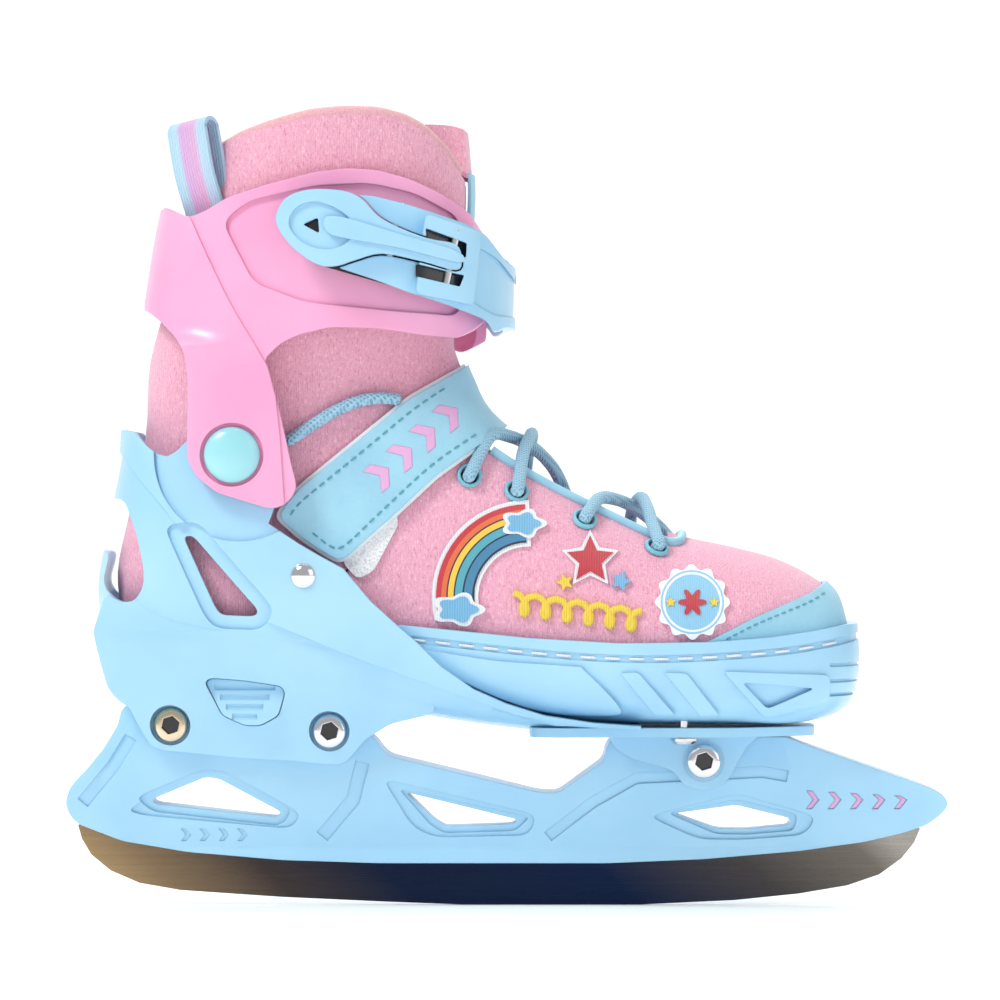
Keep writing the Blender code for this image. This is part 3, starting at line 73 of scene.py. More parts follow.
BOOT = [
    ((110, 75.5), (109.5, 92), 14.5, 2.4, 2.2, 0.45, 1),
    ((107.5, 68.5), (107, 99), 24, 2.6, 2.2, 0.45, 0.9),
    ((101.5, 64.5), (101, 104.5), 30.5, 3, 2.2, 0.45, 0.6),
    ((90, 62.5), (89, 110.5), 35.3, 3.4, 2.2, 0.45, 0.3),
    ((75, 62.5), (74, 114.5), 37.9, 3.4, 2.2, 0.45, 0),
    ((55, 62.5), (55, 119), 38.5, 3.4, 2.1, 0.45, 0),
    ((35, 62.5), (35, 129), 37.3, 3.4, 2.1, 0.44, 0),
    ((14, 63.5), (14, 141.5), 34.9, 3.4, 2.1, 0.43, 0),
    ((-8, 66), (-2, 154), 32.3, 3.2, 2.1, 0.43, 0),
    ((-32, 70), (-8.5, 165), 30.5, 3, 2.1, 0.44, 0),
    ((-58, 74), (-11.5, 171), 29.3, 2.8, 2.1, 0.45, 0),
    ((-84, 76), (-13, 175), 28.5, 2.8, 2.1, 0.46, 0),
    ((-107, 80), (-14, 178.5), 28.5, 2.6, 2.1, 0.46, 0),
    ((-118.5, 91), (-14, 181.5), 28.5, 2.5, 2.1, 0.47, 0),
    ((-121.5, 106), (-14, 184.5), 28.5, 2.4, 2.1, 0.47, 0),
    ((-117.5, 126), (-13.5, 188), 29, 2.4, 2.1, 0.48, 0),
    ((-112.5, 150), (-12.5, 193), 30.5, 2.4, 2.2, 0.48, 0),
    ((-111, 173), (-11, 200), 33.5, 2.4, 2.2, 0.5, 0),
    ((-104.5, 197), (-9.5, 211), 36, 2.4, 2.2, 0.5, 0),
    ((-99, 222), (-8.5, 227), 36, 2.4, 2.2, 0.5, 0),
    ((-92, 243), (-9.5, 243), 35.5, 2.4, 2.2, 0.5, 0),
    ((-88, 260), (-11.5, 260), 35, 2.4, 2.2, 0.5, 0),
]
CUFF = [
    ((-142, 100), (-26, 100), CUFF_OUTER_Y, 8, 8, 0.5, 0),
    ((-136, 168), (-22, 168), CUFF_OUTER_Y, 8, 8, 0.5, 0),
    ((-114, 180), (-5, 178), CUFF_OUTER_Y + 0.6, 3.6, 3.2, 0.5, 0),
    ((-112, 192), (-3, 188), CUFF_OUTER_Y + 1.2, 2.9, 2.8, 0.5, 0),
    ((-108.5, 214), (-3, 206), CUFF_OUTER_Y + 1.4, 2.8, 2.7, 0.5, 0),
    ((-103, 238), (-5.5, 228), CUFF_OUTER_Y + 1.2, 2.8, 2.7, 0.5, 0),
    ((-99, 252), (-7, 243), CUFF_OUTER_Y + 1, 2.8, 2.7, 0.5, 0),
]


# ---------------------------------------------------------------- materials

class Shader:
    """A material's node tree with short ways to add to it."""

    def __init__(self, name, rough=0.5, metal=0):
        self.material = bpy.data.materials.new(name)
        self.material.use_nodes = True
        self.tree = self.material.node_tree
        self.bsdf = self.tree.nodes["Principled BSDF"]
        self.bsdf.inputs["Roughness"].default_value = rough
        self.bsdf.inputs["Metallic"].default_value = metal
        self.place = self.node("ShaderNodeTexCoord").outputs["Object"]

    def node(self, kind, **settings):
        made = self.tree.nodes.new(kind)
        for key, value in settings.items():
            setattr(made, key, value)
        return made

    def link(self, source, target):
        self.tree.links.new(source, target)

    def set(self, **values):
        for key, value in values.items():
            self.bsdf.inputs[key.replace("_", " ")].default_value = value
        return self

    def stretched(self, scale):
        if not scale:
            return self.place
        mapping = self.node("ShaderNodeMapping")
        mapping.inputs["Scale"].default_value = scale
        self.link(self.place, mapping.inputs["Vector"])
        return mapping.outputs["Vector"]

    def noise(self, scale, detail=2, stretch=None, rough=0.5):
        made = self.node("ShaderNodeTexNoise")
        made.inputs["Scale"].default_value = scale
        made.inputs["Detail"].default_value = detail
        made.inputs["Roughness"].default_value = rough
        self.link(self.stretched(stretch), made.inputs["Vector"])
        return made.outputs["Fac"]

    def wave(self, scale, axis="X", distortion=0, stretch=None):
        made = self.node("ShaderNodeTexWave", bands_direction=axis)
        made.inputs["Scale"].default_value = scale
        made.inputs["Distortion"].default_value = distortion
        made.inputs["Detail"].default_value = 0
        self.link(self.stretched(stretch), made.inputs["Vector"])
        return made.outputs["Fac"]

    def cells(self, scale, stretch=None):
        made = self.node("ShaderNodeTexVoronoi")
        made.inputs["Scale"].default_value = scale
        self.link(self.stretched(stretch), made.inputs["Vector"])
        return made.outputs["Distance"]

    def ramp(self, factor, stops, kind="LINEAR"):
        made = self.node("ShaderNodeValToRGB")
        made.color_ramp.interpolation = kind
        elements = made.color_ramp.elements
        while len(elements) < len(stops):
            elements.new(0.5)
        for element, (at, colour) in zip(elements, stops):
            element.position = at
            element.color = (*srgb(colour), 1)
        self.link(factor, made.inputs["Fac"])
        return made.outputs["Color"]

    def math(self, kind, a, b):
        made = self.node("ShaderNodeMath", operation=kind)
        for slot, value in enumerate((a, b)):
            if isinstance(value, (int, float)):
                made.inputs[slot].default_value = value
            else:
                self.link(value, made.inputs[slot])
        return made.outputs[0]

    def bump(self, height, strength, distance, edge=0):
        made = self.node("ShaderNodeBump")
        made.inputs["Strength"].default_value = strength
        made.inputs["Distance"].default_value = distance
        self.link(height, made.inputs["Height"])
        if edge:
            self.link(self.edge(edge), made.inputs["Normal"])
        self.link(made.outputs["Normal"], self.bsdf.inputs["Normal"])

    def edge(self, radius):
        made = self.node("ShaderNodeBevel", samples=4)
        made.inputs["Radius"].default_value = radius
        return made.outputs["Normal"]

    def colour(self, source):
        if isinstance(source, tuple):
            self.bsdf.inputs["Base Color"].default_value = (*srgb(source), 1)
        else:
            self.link(source, self.bsdf.inputs["Base Color"])
        return self


def srgb(colour):
    shares = [c / 255 for c in colour]
    return [c / 12.92 if c <= 0.04045 else ((c + 0.055) / 1.055) ** 2.4 for c in shares]


def plastic(name, colour, dark, rough=0.3, edge=0.0006, clear=0):
    """Moulded plastic: a little light goes in, the grain is very fine, and handling has dulled it in places."""
    shade = Shader(name, rough)
    worn = shade.noise(28, 3)
    shade.colour(shade.ramp(worn, [(0.30, dark), (0.62, colour)]))
    shade.link(shade.math("ADD", shade.math("MULTIPLY", worn, 0.16), rough - 0.08),
               shade.bsdf.inputs["Roughness"])
    shade.set(Subsurface_Weight=0.12, Subsurface_Scale=0.004, Coat_Weight=clear, Coat_Roughness=0.15)
    shade.bsdf.inputs["Subsurface Radius"].default_value = (1, 0.8, 0.8)
    shade.bump(shade.noise(2600, 1), 0.06, 0.0002, edge)
    return shade.material


def melange(name, light, mid, dark, scale=1):
    """Brushed melange knit: pale and dark fibres over the ground colour, with a fine woven relief."""
    shade = Shader(name, 0.95)
    streaks = shade.noise(760 * scale, 3, (1.6, 1.6, 0.7), 0.7)
    flecks = shade.noise(1900 * scale, 2)
    mixed = shade.math("ADD", shade.math("MULTIPLY", streaks, 0.62), shade.math("MULTIPLY", flecks, 0.38))
    shade.colour(shade.ramp(mixed, [(0.36, dark), (0.46, mid), (0.54, mid), (0.64, light)]))
    weave = shade.math("MULTIPLY", shade.wave(420, "X", 2.5), 0.7)
    shade.set(Sheen_Weight=0.35, Sheen_Roughness=0.5)
    shade.bump(shade.math("ADD", weave, shade.math("MULTIPLY", flecks, 1.6)), 0.5, 0.0003)
    return shade.material


def leather(name, colour, dark, edge=0.0005):
    """Synthetic leather with a pebbled grain and worn, paler high spots."""
    shade = Shader(name, 0.52)
    shade.colour(shade.ramp(shade.noise(60, 4), [(0.35, dark), (0.65, colour)]))
    grain = shade.math("ADD", shade.cells(900), shade.math("MULTIPLY", shade.noise(1500), 0.6))
    shade.set(Sheen_Weight=0.1)
    shade.bump(grain, 0.35, 0.0002, edge)
    return shade.material


def braid(name, colour, dark, scale=420):
    """Braided cord: two crossing sets of strands, with painted shade in the grooves between them."""
    shade = Shader(name, 0.8)
    strands = shade.math("MAXIMUM", shade.wave(scale, "DIAGONAL", 0, (1, 1, 1)),
                         shade.wave(scale, "DIAGONAL", 0, (1, -1, -1)))
    # Painted shade: the colour darkens where the strands' relief is low.
    shade.colour(shade.ramp(strands, [(0.25, dark), (0.75, colour)]))
    shade.set(Sheen_Weight=0.3)
    shade.bump(strands, 0.8, 0.0004)
    return shade.material


def thread(name, colour, dark, axis="X", scale=600):
    """Satin embroidery: parallel shiny threads, with painted shade in the grooves between them."""
    shade = Shader(name, 0.45)
    lines = shade.wave(scale, axis, 0.6)
    # Painted shade: the colour darkens where the threads' relief is low.
    shade.colour(shade.ramp(lines, [(0.15, dark), (0.6, colour)]))
    shade.set(Sheen_Weight=0.25)
    shade.bump(lines, 0.6, 0.0002)
    return shade.material


def arcs(name, centre, stops):
    """Embroidered bands of colour round a centre. Each stop is a radius in millimetres and its colour."""
    shade = Shader(name, 0.5)
    apart = shade.node("ShaderNodeVectorMath", operation="DISTANCE")
    flat = shade.node("ShaderNodeVectorMath", operation="MULTIPLY")
    flat.inputs[1].default_value = (1, 0, 1)
    shade.link(shade.place, flat.inputs[0])
    shade.link(flat.outputs["Vector"], apart.inputs[0])
    apart.inputs[1].default_value = (centre[0] * MM, 0, centre[1] * MM)
    low, high = stops[0][0], stops[-1][0]
    scaled = shade.math("DIVIDE", shade.math("SUBTRACT", apart.outputs["Value"], low * MM), (high - low) * MM)
    shares = [((radius - low) / (high - low), colour) for radius, colour in stops]
    shade.colour(shade.ramp(scaled, shares, "CONSTANT"))
    shade.set(Sheen_Weight=0.25)
    shade.bump(shade.wave(560, "X", 1), 0.6, 0.0002)
    return shade.material


def blade_steel():
    """Ground steel with fine lines along the blade, and painted reflections in its colour: broad light and dark
    stripes along the blade and up it.
    """
    shade = Shader("blade_steel", 0.3, 1)
    split = shade.node("ShaderNodeSeparateXYZ")
    shade.link(shade.place, split.inputs[0])
    # Painted reflection in the base colour: brownish at the heel, dark blue in the middle, pale at the toe,
    # shifting up the blade.
    along = shade.math("ADD", shade.math("MULTIPLY", split.outputs["X"], 3.7), 0.5)
    rise = shade.math("MULTIPLY", split.outputs["Z"], 5)
    painted_reflection = shade.math("ADD", along, shade.math("MULTIPLY", shade.math("SUBTRACT", rise, 0.06), 0.8))
    shade.colour(shade.ramp(painted_reflection, [(0, (176, 148, 108)), (0.10, (128, 108, 84)), (0.22, (66, 58, 56)),
                                    (0.36, (26, 36, 58)),
                                    (0.62, (24, 36, 62)), (0.80, (70, 66, 66)), (0.95, (112, 106, 98)),
                                    (1, (160, 156, 150))]))
    grind = shade.noise(900, 3, (0.02, 1, 1))
    shade.link(shade.math("ADD", shade.math("MULTIPLY", grind, 0.2), 0.16), shade.bsdf.inputs["Roughness"])
    shade.bump(grind, 0.15, 0.0001, 0.0003)
    return shade.material


def chrome(name, colour=(226, 226, 230), rough=0.12):
    shade = Shader(name, rough, 1).colour(colour)
    shade.bump(shade.noise(300, 4), 0.04, 0.0002, 0.0003)
    return shade.material


def pile():
    """Looped pile of a hook-and-loop pad, with painted shade where the pile is low."""
    shade = Shader("white_pile", 0.95)
    fuzz = shade.noise(1500, 4)
    # Painted shade: the same noise raises the pile and greys it where it is low.
    shade.colour(shade.ramp(fuzz, [(0.3, (205, 208, 216)), (0.6, (246, 246, 248))]))
    shade.set(Sheen_Weight=0.6)
    shade.bump(fuzz, 0.9, 0.0006)
    return shade.material


def ribbon():
    """Ribbed woven ribbon: blue selvedges and a lilac middle. Its local X runs across the width."""
    shade = Shader("pull_ribbon", 0.7)
    split = shade.node("ShaderNodeSeparateXYZ")
    shade.link(shade.place, split.inputs[0])
    across = shade.math("ADD", shade.math("MULTIPLY", split.outputs["X"], 65), 0.5)
    shade.colour(shade.ramp(across, [(0, (170, 214, 236)), (0.22, (180, 220, 238)), (0.34, (214, 170, 222)),
                                     (0.66, (224, 172, 216)), (0.78, (186, 216, 240)), (1, (170, 214, 236))]))
    shade.set(Sheen_Weight=0.4)
    shade.bump(shade.wave(330, "X"), 0.8, 0.0004)
    return shade.material


BLUE = plastic("blue_plastic_look", (166, 214, 240), (156, 206, 236), 0.34, clear=0.2)
PINK = plastic("pink_plastic_look", (247, 172, 209), (243, 162, 202), 0.34, clear=0.2)
MINT = plastic("mint_plastic_look", (160, 222, 230), (150, 214, 224), 0.22, clear=0.5)
BLACK = plastic("black_plastic_look", (22, 22, 26), (12, 12, 14), 0.2, clear=0.6)
TEXTILE = melange("boot_textile_look", (250, 204, 218), (232, 168, 190), (204, 134, 162), 1.25)
LINING = melange("boot_lining_look", (214, 130, 158), (190, 104, 136), (150, 78, 108), 1.4)
LEATHER = leather("blue_leather_look", (156, 208, 228), (146, 199, 221))
BACKING = leather("white_backing_look", (244, 246, 248), (232, 236, 240))
BINDING = melange("binding_look", (240, 196, 200), (226, 170, 178), (206, 142, 156), 1.6)
CORD = braid("blue_cord_look", (160, 208, 230), (118, 172, 200))
PIPING = braid("piping_look", (160, 206, 228), (118, 168, 196), 300)
TEAL = thread("teal_thread_look", (84, 176, 190), (52, 134, 152), "DIAGONAL", 900)
EYELET = plastic("eyelet_look", (128, 198, 214), (112, 184, 204), 0.35)
PILE = pile()
RIBBON = ribbon()
STEEL = blade_steel()
CHROME = chrome("chrome_look")
GOLDEN = chrome("golden_chrome_look", (222, 204, 176), 0.2)
SKY_THREAD = thread("sky_thread_look", (130, 192, 228), (92, 158, 200))
RED_THREAD = thread("red_thread_look", (206, 60, 72), (168, 36, 52))
PRINT = plastic("pink_print_look", (232, 178, 222), (226, 168, 216), 0.5)
YELLOW = thread("yellow_thread_look", (248, 222, 80), (218, 182, 40))
WHITE_THREAD = thread("white_thread_look", (246, 248, 250), (214, 220, 228))
OUTLINE = (34, 44, 74)
RAINBOW = arcs("rainbow_look", RAINBOW_CENTRE, [
    (16, OUTLINE), (17.6, (66, 132, 170)), (20.2, OUTLINE), (20.7, (84, 168, 184)), (23, OUTLINE),
    (23.5, (244, 200, 70)), (25.2, OUTLINE), (25.7, (226, 110, 66)), (27.3, (200, 54, 66)), (29, OUTLINE),
    (31, OUTLINE),
])
SEAL = arcs("seal_look", SEAL_CENTRE, [
    (0, (142, 200, 232)), (8.6, (246, 248, 250)), (9.3, (142, 200, 232)), (9.9, (246, 248, 250)),
    (12.4, (246, 248, 250)),
])


# ---------------------------------------------------------------- shapes

def bend(a, b, c, d, t):
    """The Catmull-Rom curve at share t of the way from b to c."""
    return 0.5 * (2 * b + (c - a) * t + (2 * a - 5 * b + 4 * c - d) * t * t
                  + (3 * b - a - 3 * c + d) * t ** 3)


def smooth_stations(stations, steps=FINE):
    """More stations on a smooth line through these, from the first to the last."""
    rows = [(*b, *f, *rest) for b, f, *rest in stations]
    result = []
    for i in range(len(rows) - 1):
        before, here = rows[max(i - 1, 0)], rows[i]
        after, beyond = rows[i + 1], rows[min(i + 2, len(rows) - 1)]
        for step in range(steps):
            t = step / steps
            row = [bend(*four, t) for four in zip(before, here, after, beyond)]
            result.append(((row[0], row[1]), (row[2], row[3]), *row[4:]))
    result.append(stations[-1])
    return result


FINE_BOOT = smooth_stations(BOOT)
FINE_CUFF = smooth_stations(CUFF)


def ring_points(station, offset, count=COUNT):
    """A superellipse round a line from back to front, with its own power at each end."""
    (bx, bz), (fx, fz), half_width, back_power, front_power, middle, nose = station
    back, front = Vector((bx, 0, bz)), Vector((fx, 0, fz))
    along = (front - back).normalized()
    length = (front - back).length
    centre = back + along * length * middle + Vector((nose * offset, 0, 0))
    points = []
    for index in range(count):
        angle = math.tau * index / count
        c, s = math.cos(angle), math.sin(angle)
        power = front_power if c >= 0 else back_power
        reach = length * (1 - middle) + offset if c >= 0 else length * middle + offset
        ahead = math.copysign(abs(c) ** (2 / power), c) * reach
        aside = math.copysign(abs(s) ** (2 / power), s) * (half_width + offset)
        points.append(centre + along * ahead + Vector((0, aside, 0)))
    return points


def make(name, builder, material=None, smooth=True):
    data = bpy.data.meshes.new(name)
    builder.to_mesh(data)
    builder.free()
    obj = bpy.data.objects.new(name, data)
    bpy.context.scene.collection.objects.link(obj)
    if material:
        data.materials.append(material)
    if smooth:
        data.shade_smooth()
        data.set_sharp_from_angle(angle=math.radians(38))
    return obj


def loft(name, stations, offset, material=None, extend=(0, 0)):
    rings = [ring_points(station, offset) for station in stations]
    if extend[0]:
        push = (rings[0][0] - rings[1][0]).normalized() * extend[0]
        rings.insert(0, [point + push for point in rings[0]])
    if extend[1]:
        rings.append([point + Vector((0, 0, extend[1])) for point in rings[-1]])
    builder = bmesh.new()
    rows = [[builder.verts.new(point * MM) for point in ring] for ring in rings]
    for low, high in zip(rows, rows[1:]):
        for i in range(COUNT):
            j = (i + 1) % COUNT
            builder.faces.new((low[i], low[j], high[j], high[i]))
    builder.faces.new(list(reversed(rows[0])))
    builder.faces.new(rows[-1])
    bmesh.ops.recalc_face_normals(builder, faces=builder.faces[:])
    return make(name, builder, material, False)


def prism(name, outline, low, high, plane="XZ", material=None):
    """A closed outline extruded across its plane."""
    builder = bmesh.new()

    def at(a, b, depth):
        if plane == "XZ":
            return Vector((a, depth, b)) * MM
        if plane == "YZ":
            return Vector((depth, a, b)) * MM
        return Vector((a, b, depth)) * MM

    first = [builder.verts.new(at(a, b, low)) for a, b in outline]
    last = [builder.verts.new(at(a, b, high)) for a, b in outline]
    builder.faces.new(first)
    builder.faces.new(list(reversed(last)))
    for i in range(len(outline)):
        j = (i + 1) % len(outline)
        builder.faces.new((first[j], first[i], last[i], last[j]))
    bmesh.ops.recalc_face_normals(builder, faces=builder.faces[:])
    bmesh.ops.triangulate(builder, faces=[f for f in builder.faces if len(f.verts) > 4])
    return make(name, builder, material, False)


def cut(target, *others, operation="DIFFERENCE"):
    """Applies a Boolean with each other object, which is then removed."""
    for other in others:
        for solver in ("MANIFOLD", "EXACT"):
            modifier = target.modifiers.new("cut", "BOOLEAN")
            modifier.operation = operation
            modifier.solver = solver
            modifier.material_mode = "TRANSFER"
            modifier.object = other
            bpy.context.view_layer.update()
            evaluated = target.evaluated_get(bpy.context.evaluated_depsgraph_get())
            data = bpy.data.meshes.new_from_object(evaluated)
            target.modifiers.clear()
            if len(data.polygons):
                break
        target.data = data
        bpy.data.objects.remove(other, do_unlink=True)
    return target


def finish(obj, material=None, angle=38):
    if material:
        obj.data.materials.clear()
        obj.data.materials.append(material)
        for polygon in obj.data.polygons:
            polygon.material_index = 0
    obj.data.shade_smooth()
    obj.data.set_sharp_from_angle(angle=math.radians(angle))
    return obj


def curved(points, steps=5):
    """A closed outline smoothed by a Catmull-Rom curve through its points."""
    result = []
    count = len(points)
    for i in range(count):
        a, b, c, d = (Vector(points[(i + k) % count]) for k in (-1, 0, 1, 2))
        for step in range(steps):
            result.append(tuple(bend(a, b, c, d, step / steps)))
    return result


def rounded(points, radius, steps=5):
    """A closed outline with its corners rounded."""
    result = []
    count = len(points)
    for index in range(count):
        here = Vector(points[index])
        to_last = Vector(points[index - 1]) - here
        to_next = Vector(points[(index + 1) % count]) - here
        start = here + to_last.normalized() * min(radius, 0.45 * to_last.length)
        end = here + to_next.normalized() * min(radius, 0.45 * to_next.length)
        for step in range(steps + 1):
            share = step / steps
            bend = start * (1 - share) ** 2 + here * 2 * share * (1 - share) + end * share ** 2
            result.append((bend.x, bend.y))
    return result


def grown(points, distance):
    """A closed outline moved outwards."""
    count = len(points)
    area = sum(points[i - 1][0] * points[i][1] - points[i][0] * points[i - 1][1] for i in range(count))
    turn = 1 if area > 0 else -1
    result = []
    for index in range(count):
        last = (Vector(points[index]) - Vector(points[index - 1])).normalized()
        following = (Vector(points[(index + 1) % count]) - Vector(points[index])).normalized()
        normal = Vector((last.y + following.y, -last.x - following.x)) * turn
        normal /= max(0.5, (1 + last.dot(following)))
        result.append((points[index][0] + normal.x * distance, points[index][1] + normal.y * distance))
    return result


def ribbon_outline(path, half_width):
    """A thin closed outline along an open path."""
    upper, lower = [], []
    for i, here in enumerate(path):
        ahead = Vector(path[min(i + 1, len(path) - 1)]) - Vector(path[max(i - 1, 0)])
        side = Vector((-ahead.y, ahead.x)).normalized() * half_width
        upper.append((here[0] + side.x, here[1] + side.y))
        lower.append((here[0] - side.x, here[1] - side.y))
    return upper + list(reversed(lower))


def skin(name, stations, inner, outer, outline, material, low=-WIDE, high=WIDE, lining=None, ends=(0, 4)):
    """The layer between two offsets of a volume, kept inside a side-view outline."""
    layer = loft(name, stations, outer, material)
    hollow = loft("hollow", stations, inner, lining or material, ends)
    cut(layer, hollow)
    cut(layer, prism("outline", outline, low, high, material=material), operation="INTERSECT")
    return finish(layer)


def engrave(obj, stations, offset, depth, outline, low=-WIDE, high=WIDE):
    """Sinks an outline into a skin's outer surface between low and high in Y. A negative depth raises it."""
    if depth > 0:
        tool = loft("tool", stations, offset + 2)
        cut(tool, loft("core", stations, offset - depth))
        cut(tool, prism("trim", outline, low, high), operation="INTERSECT")
        return cut(obj, tool)
    tool = loft("tool", stations, offset - depth)
    cut(tool, loft("core", stations, offset - 0.6))
    cut(tool, prism("trim", outline, low, high), operation="INTERSECT")
    return cut(obj, tool, operation="UNION")


TREES = {}


def tree_of(stations, offset):
    key = (id(stations), round(offset, 2))
    if key not in TREES:
        points, faces = [], []
        for station in stations:
            points += ring_points(station, offset)
        for row in range(len(stations) - 1):
            for i in range(COUNT):
                j = (i + 1) % COUNT
                faces.append((row * COUNT + i, row * COUNT + j, (row + 1) * COUNT + j, (row + 1) * COUNT + i))
        TREES[key] = BVHTree.FromPolygons(points, faces)
    return TREES[key]


def cast(stations, x, z, side, offset):
    """The point and outward normal where a line in Y first meets a side of the volume."""
    place, normal, _, _ = tree_of(stations, offset).ray_cast(Vector((x, 95 * side, z)), Vector((0, -side, 0)))
    if place is None:
        return None, None
    return place, normal * math.copysign(1, normal.y * side)


def seat(stations, x, z, side, offset, reach=4):
    """A place and direction for a round piece that clears the curved surface all round its rim."""
    point, normal = cast(stations, x, z, side, offset)
    rim = [cast(stations, *place, side, offset) for place in polar(x, z, reach, turn(12))]
    rim = [(p, n) for p, n in rim if p]
    normal = sum((n for _, n in rim), normal * 2).normalized()
    return point + normal * max(0, max((p - point).dot(normal) for p, _ in rim)), normal


def turn(count):
    """Angles at equal steps all the way round."""
    return [math.tau * k / count for k in range(count)]


def polar(x, z, radius, angles):
    """Points round a centre. The radius is a number, or a function of the angle."""
    reach = radius if callable(radius) else lambda angle: radius
    return [(x + reach(a) * math.cos(a), z + reach(a) * math.sin(a)) for a in angles]


def tube(name, paths, radius, material, resolution=3, cyclic=False):
    """One object of round strands along paths, in millimetres."""
    curve = bpy.data.curves.new(name, "CURVE")
    curve.dimensions = "3D"
    curve.bevel_depth = radius * MM
    curve.bevel_resolution = resolution
    curve.use_fill_caps = True
    for points in paths:
        spline = curve.splines.new("POLY")
        spline.points.add(len(points) - 1)
        for target, point in zip(spline.points, points):
            target.co = (*(Vector(point) * MM), 1)
        spline.use_cyclic_u = cyclic
    holder = bpy.data.objects.new(name + "_curve", curve)
    bpy.context.scene.collection.objects.link(holder)
    bpy.context.view_layer.update()
    data = bpy.data.meshes.new_from_object(holder.evaluated_get(bpy.context.evaluated_depsgraph_get()))
    bpy.data.objects.remove(holder, do_unlink=True)
    obj = bpy.data.objects.new(name, data)
    bpy.context.scene.collection.objects.link(obj)
    return finish(obj, material, 50)


def spaced(points, step):
    """Points at equal distances along a polyline."""
    points = [Vector(p) for p in points]
    result = [points[0]]
    left = step
    for a, b in zip(points, points[1:]):
        length = (b - a).length
        travelled = 0
        while length - travelled >= left:
            travelled += left
            result.append(a.lerp(b, travelled / length))
            left = step
        left -= length - travelled
    return result


def smooth_path(points, steps=6):
    """An open Catmull-Rom curve through the points."""
    points = [Vector(p) for p in points]
    result = []
    for i in range(len(points) - 1):
        a, b = points[max(i - 1, 0)], points[i]
        c, d = points[i + 1], points[min(i + 2, len(points) - 1)]
        for step in range(steps):
            result.append(bend(a, b, c, d, step / steps))
    result.append(points[-1])
    return result


def smooth_line(points, steps=5):
    """The same for a side-view line."""
    return [tuple(p) for p in smooth_path(points, steps)]


def on_surface(stations, route, side, offset, step=1.5):
    """A side-view route laid on the surface."""
    flat = spaced(smooth_path([(x, z, 0) for x, z in route], 8), step)
    found = [cast(stations, p.x, p.y, side, offset) for p in flat]
    return [(p, n) for p, n in found if p]


def stitches(name, stations, routes, offset, body, side=-1, pitch=3.4, length=2.2, radius=0.32,
             material=TEAL):
    """Rows of separate thread stitches that dip at both ends."""
    strands = []
    for route in routes:
        laid = on_surface(stations, route, side, offset, 0.4)
        per, share = max(2, round(pitch / 0.4)), max(2, round(length / 0.4))
        for start in range(0, len(laid) - share, per):
            run = laid[start:start + share + 1]
            middle = len(run) // 2
            strands.append([run[0][0] - run[0][1] * 0.25, run[1][0] + run[1][1] * 0.12,
                            run[middle][0] + run[middle][1] * 0.2, run[-2][0] + run[-2][1] * 0.12,
                            run[-1][0] - run[-1][1] * 0.25])
    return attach(tube(name, strands, radius, material, 1), body)


def turned(name, profile, place, along, material, steps=48):
    """A profile of (radius, height) turned about an axis. It starts and ends on the axis, or is closed."""
    builder = bmesh.new()
    rows = []
    for radius, height in profile:
        if radius < 1e-6:
            rows.append([builder.verts.new((0, 0, height * MM))])
        else:
            rows.append([builder.verts.new((radius * MM * math.cos(math.tau * k / steps),
                                            radius * MM * math.sin(math.tau * k / steps), height * MM))
                         for k in range(steps)])
    if profile[0][0] > 1e-6:
        rows.append(rows[0])
    for one, two in zip(rows, rows[1:]):
        for k in range(steps):
            j = (k + 1) % steps
            corners = [one[k % len(one)], one[j % len(one)], two[j % len(two)], two[k % len(two)]]
            unique = list(dict.fromkeys(corners))
            if len(unique) > 2:
                builder.faces.new(unique)
    bmesh.ops.recalc_face_normals(builder, faces=builder.faces[:])
    obj = make(name, builder, material)
    turn = Vector(along).to_track_quat("Z", "Y").to_matrix().to_4x4()
    obj.data.transform(Matrix.Translation(Vector(place) * MM) @ turn)
    return obj


def rod(name, start, end, radius, sides=32, material=None):
    start, end = Vector(start), Vector(end)
    length = (end - start).length
    return turned(name, [(0, length), (radius, length), (radius, 0), (0, 0)], start, end - start, material,
                  sides)


def bore(x, z, radius, low=-60, high=60, sides=32):
    """A cutter from side to side, or from one level in Y to another."""
    return rod("bore", (x, low, z), (x, high, z), radius, sides)


# ---------------------------------------------------------------- blade holder

HOLDER_TOP = TRAY_BOTTOM - 0.5
HOLDER = [
    (-119.7, 20.5), (-99.2, 17), (-68.8, 14.4), (-38, 13.4), (34.9, 13.4), (65.6, 14.7), (96.3, 17.3),
    (116.8, 20.2), (130, 23.4), (137, 25.9), (142.1, 30.1), (143.4, 33), (141.1, 36.2), (135, 38.7),
    (116.8, 45.1), (98, 51.6), (92, HOLDER_TOP), (37, HOLDER_TOP), (34.4, 51), (33.6, 46.5),
    (19.2, 36.2), (13, 36.4), (-5.8, 41), (-34, 47.8), (-36.6, 50), (-38.5, 53), (-50, 61),
    (-60, 65.2), (-112, 66.2), (-119.3, 63.5), (-120.6, 57.9), (-124.8, 50.9), (-129.9, 44.5),
    (-135.7, 38.4), (-137.6, 33.3), (-136.6, 29.4), (-134, 26.2),
]
WINDOWS = [
    [(-110.4, 33.9), (-93.1, 41.2), (-88.8, 40.8), (-69, 29.9), (-70.2, 28.2), (-109, 32.6)],
    [(-29.5, 36.4), (6.4, 27.4), (4.8, 26), (-16.6, 25.3), (-20, 27.4)],
    [(56, 29.4), (75.8, 32.2), (93.4, 27.8), (93, 25.6), (79, 24.4), (69.8, 24.6)],
]


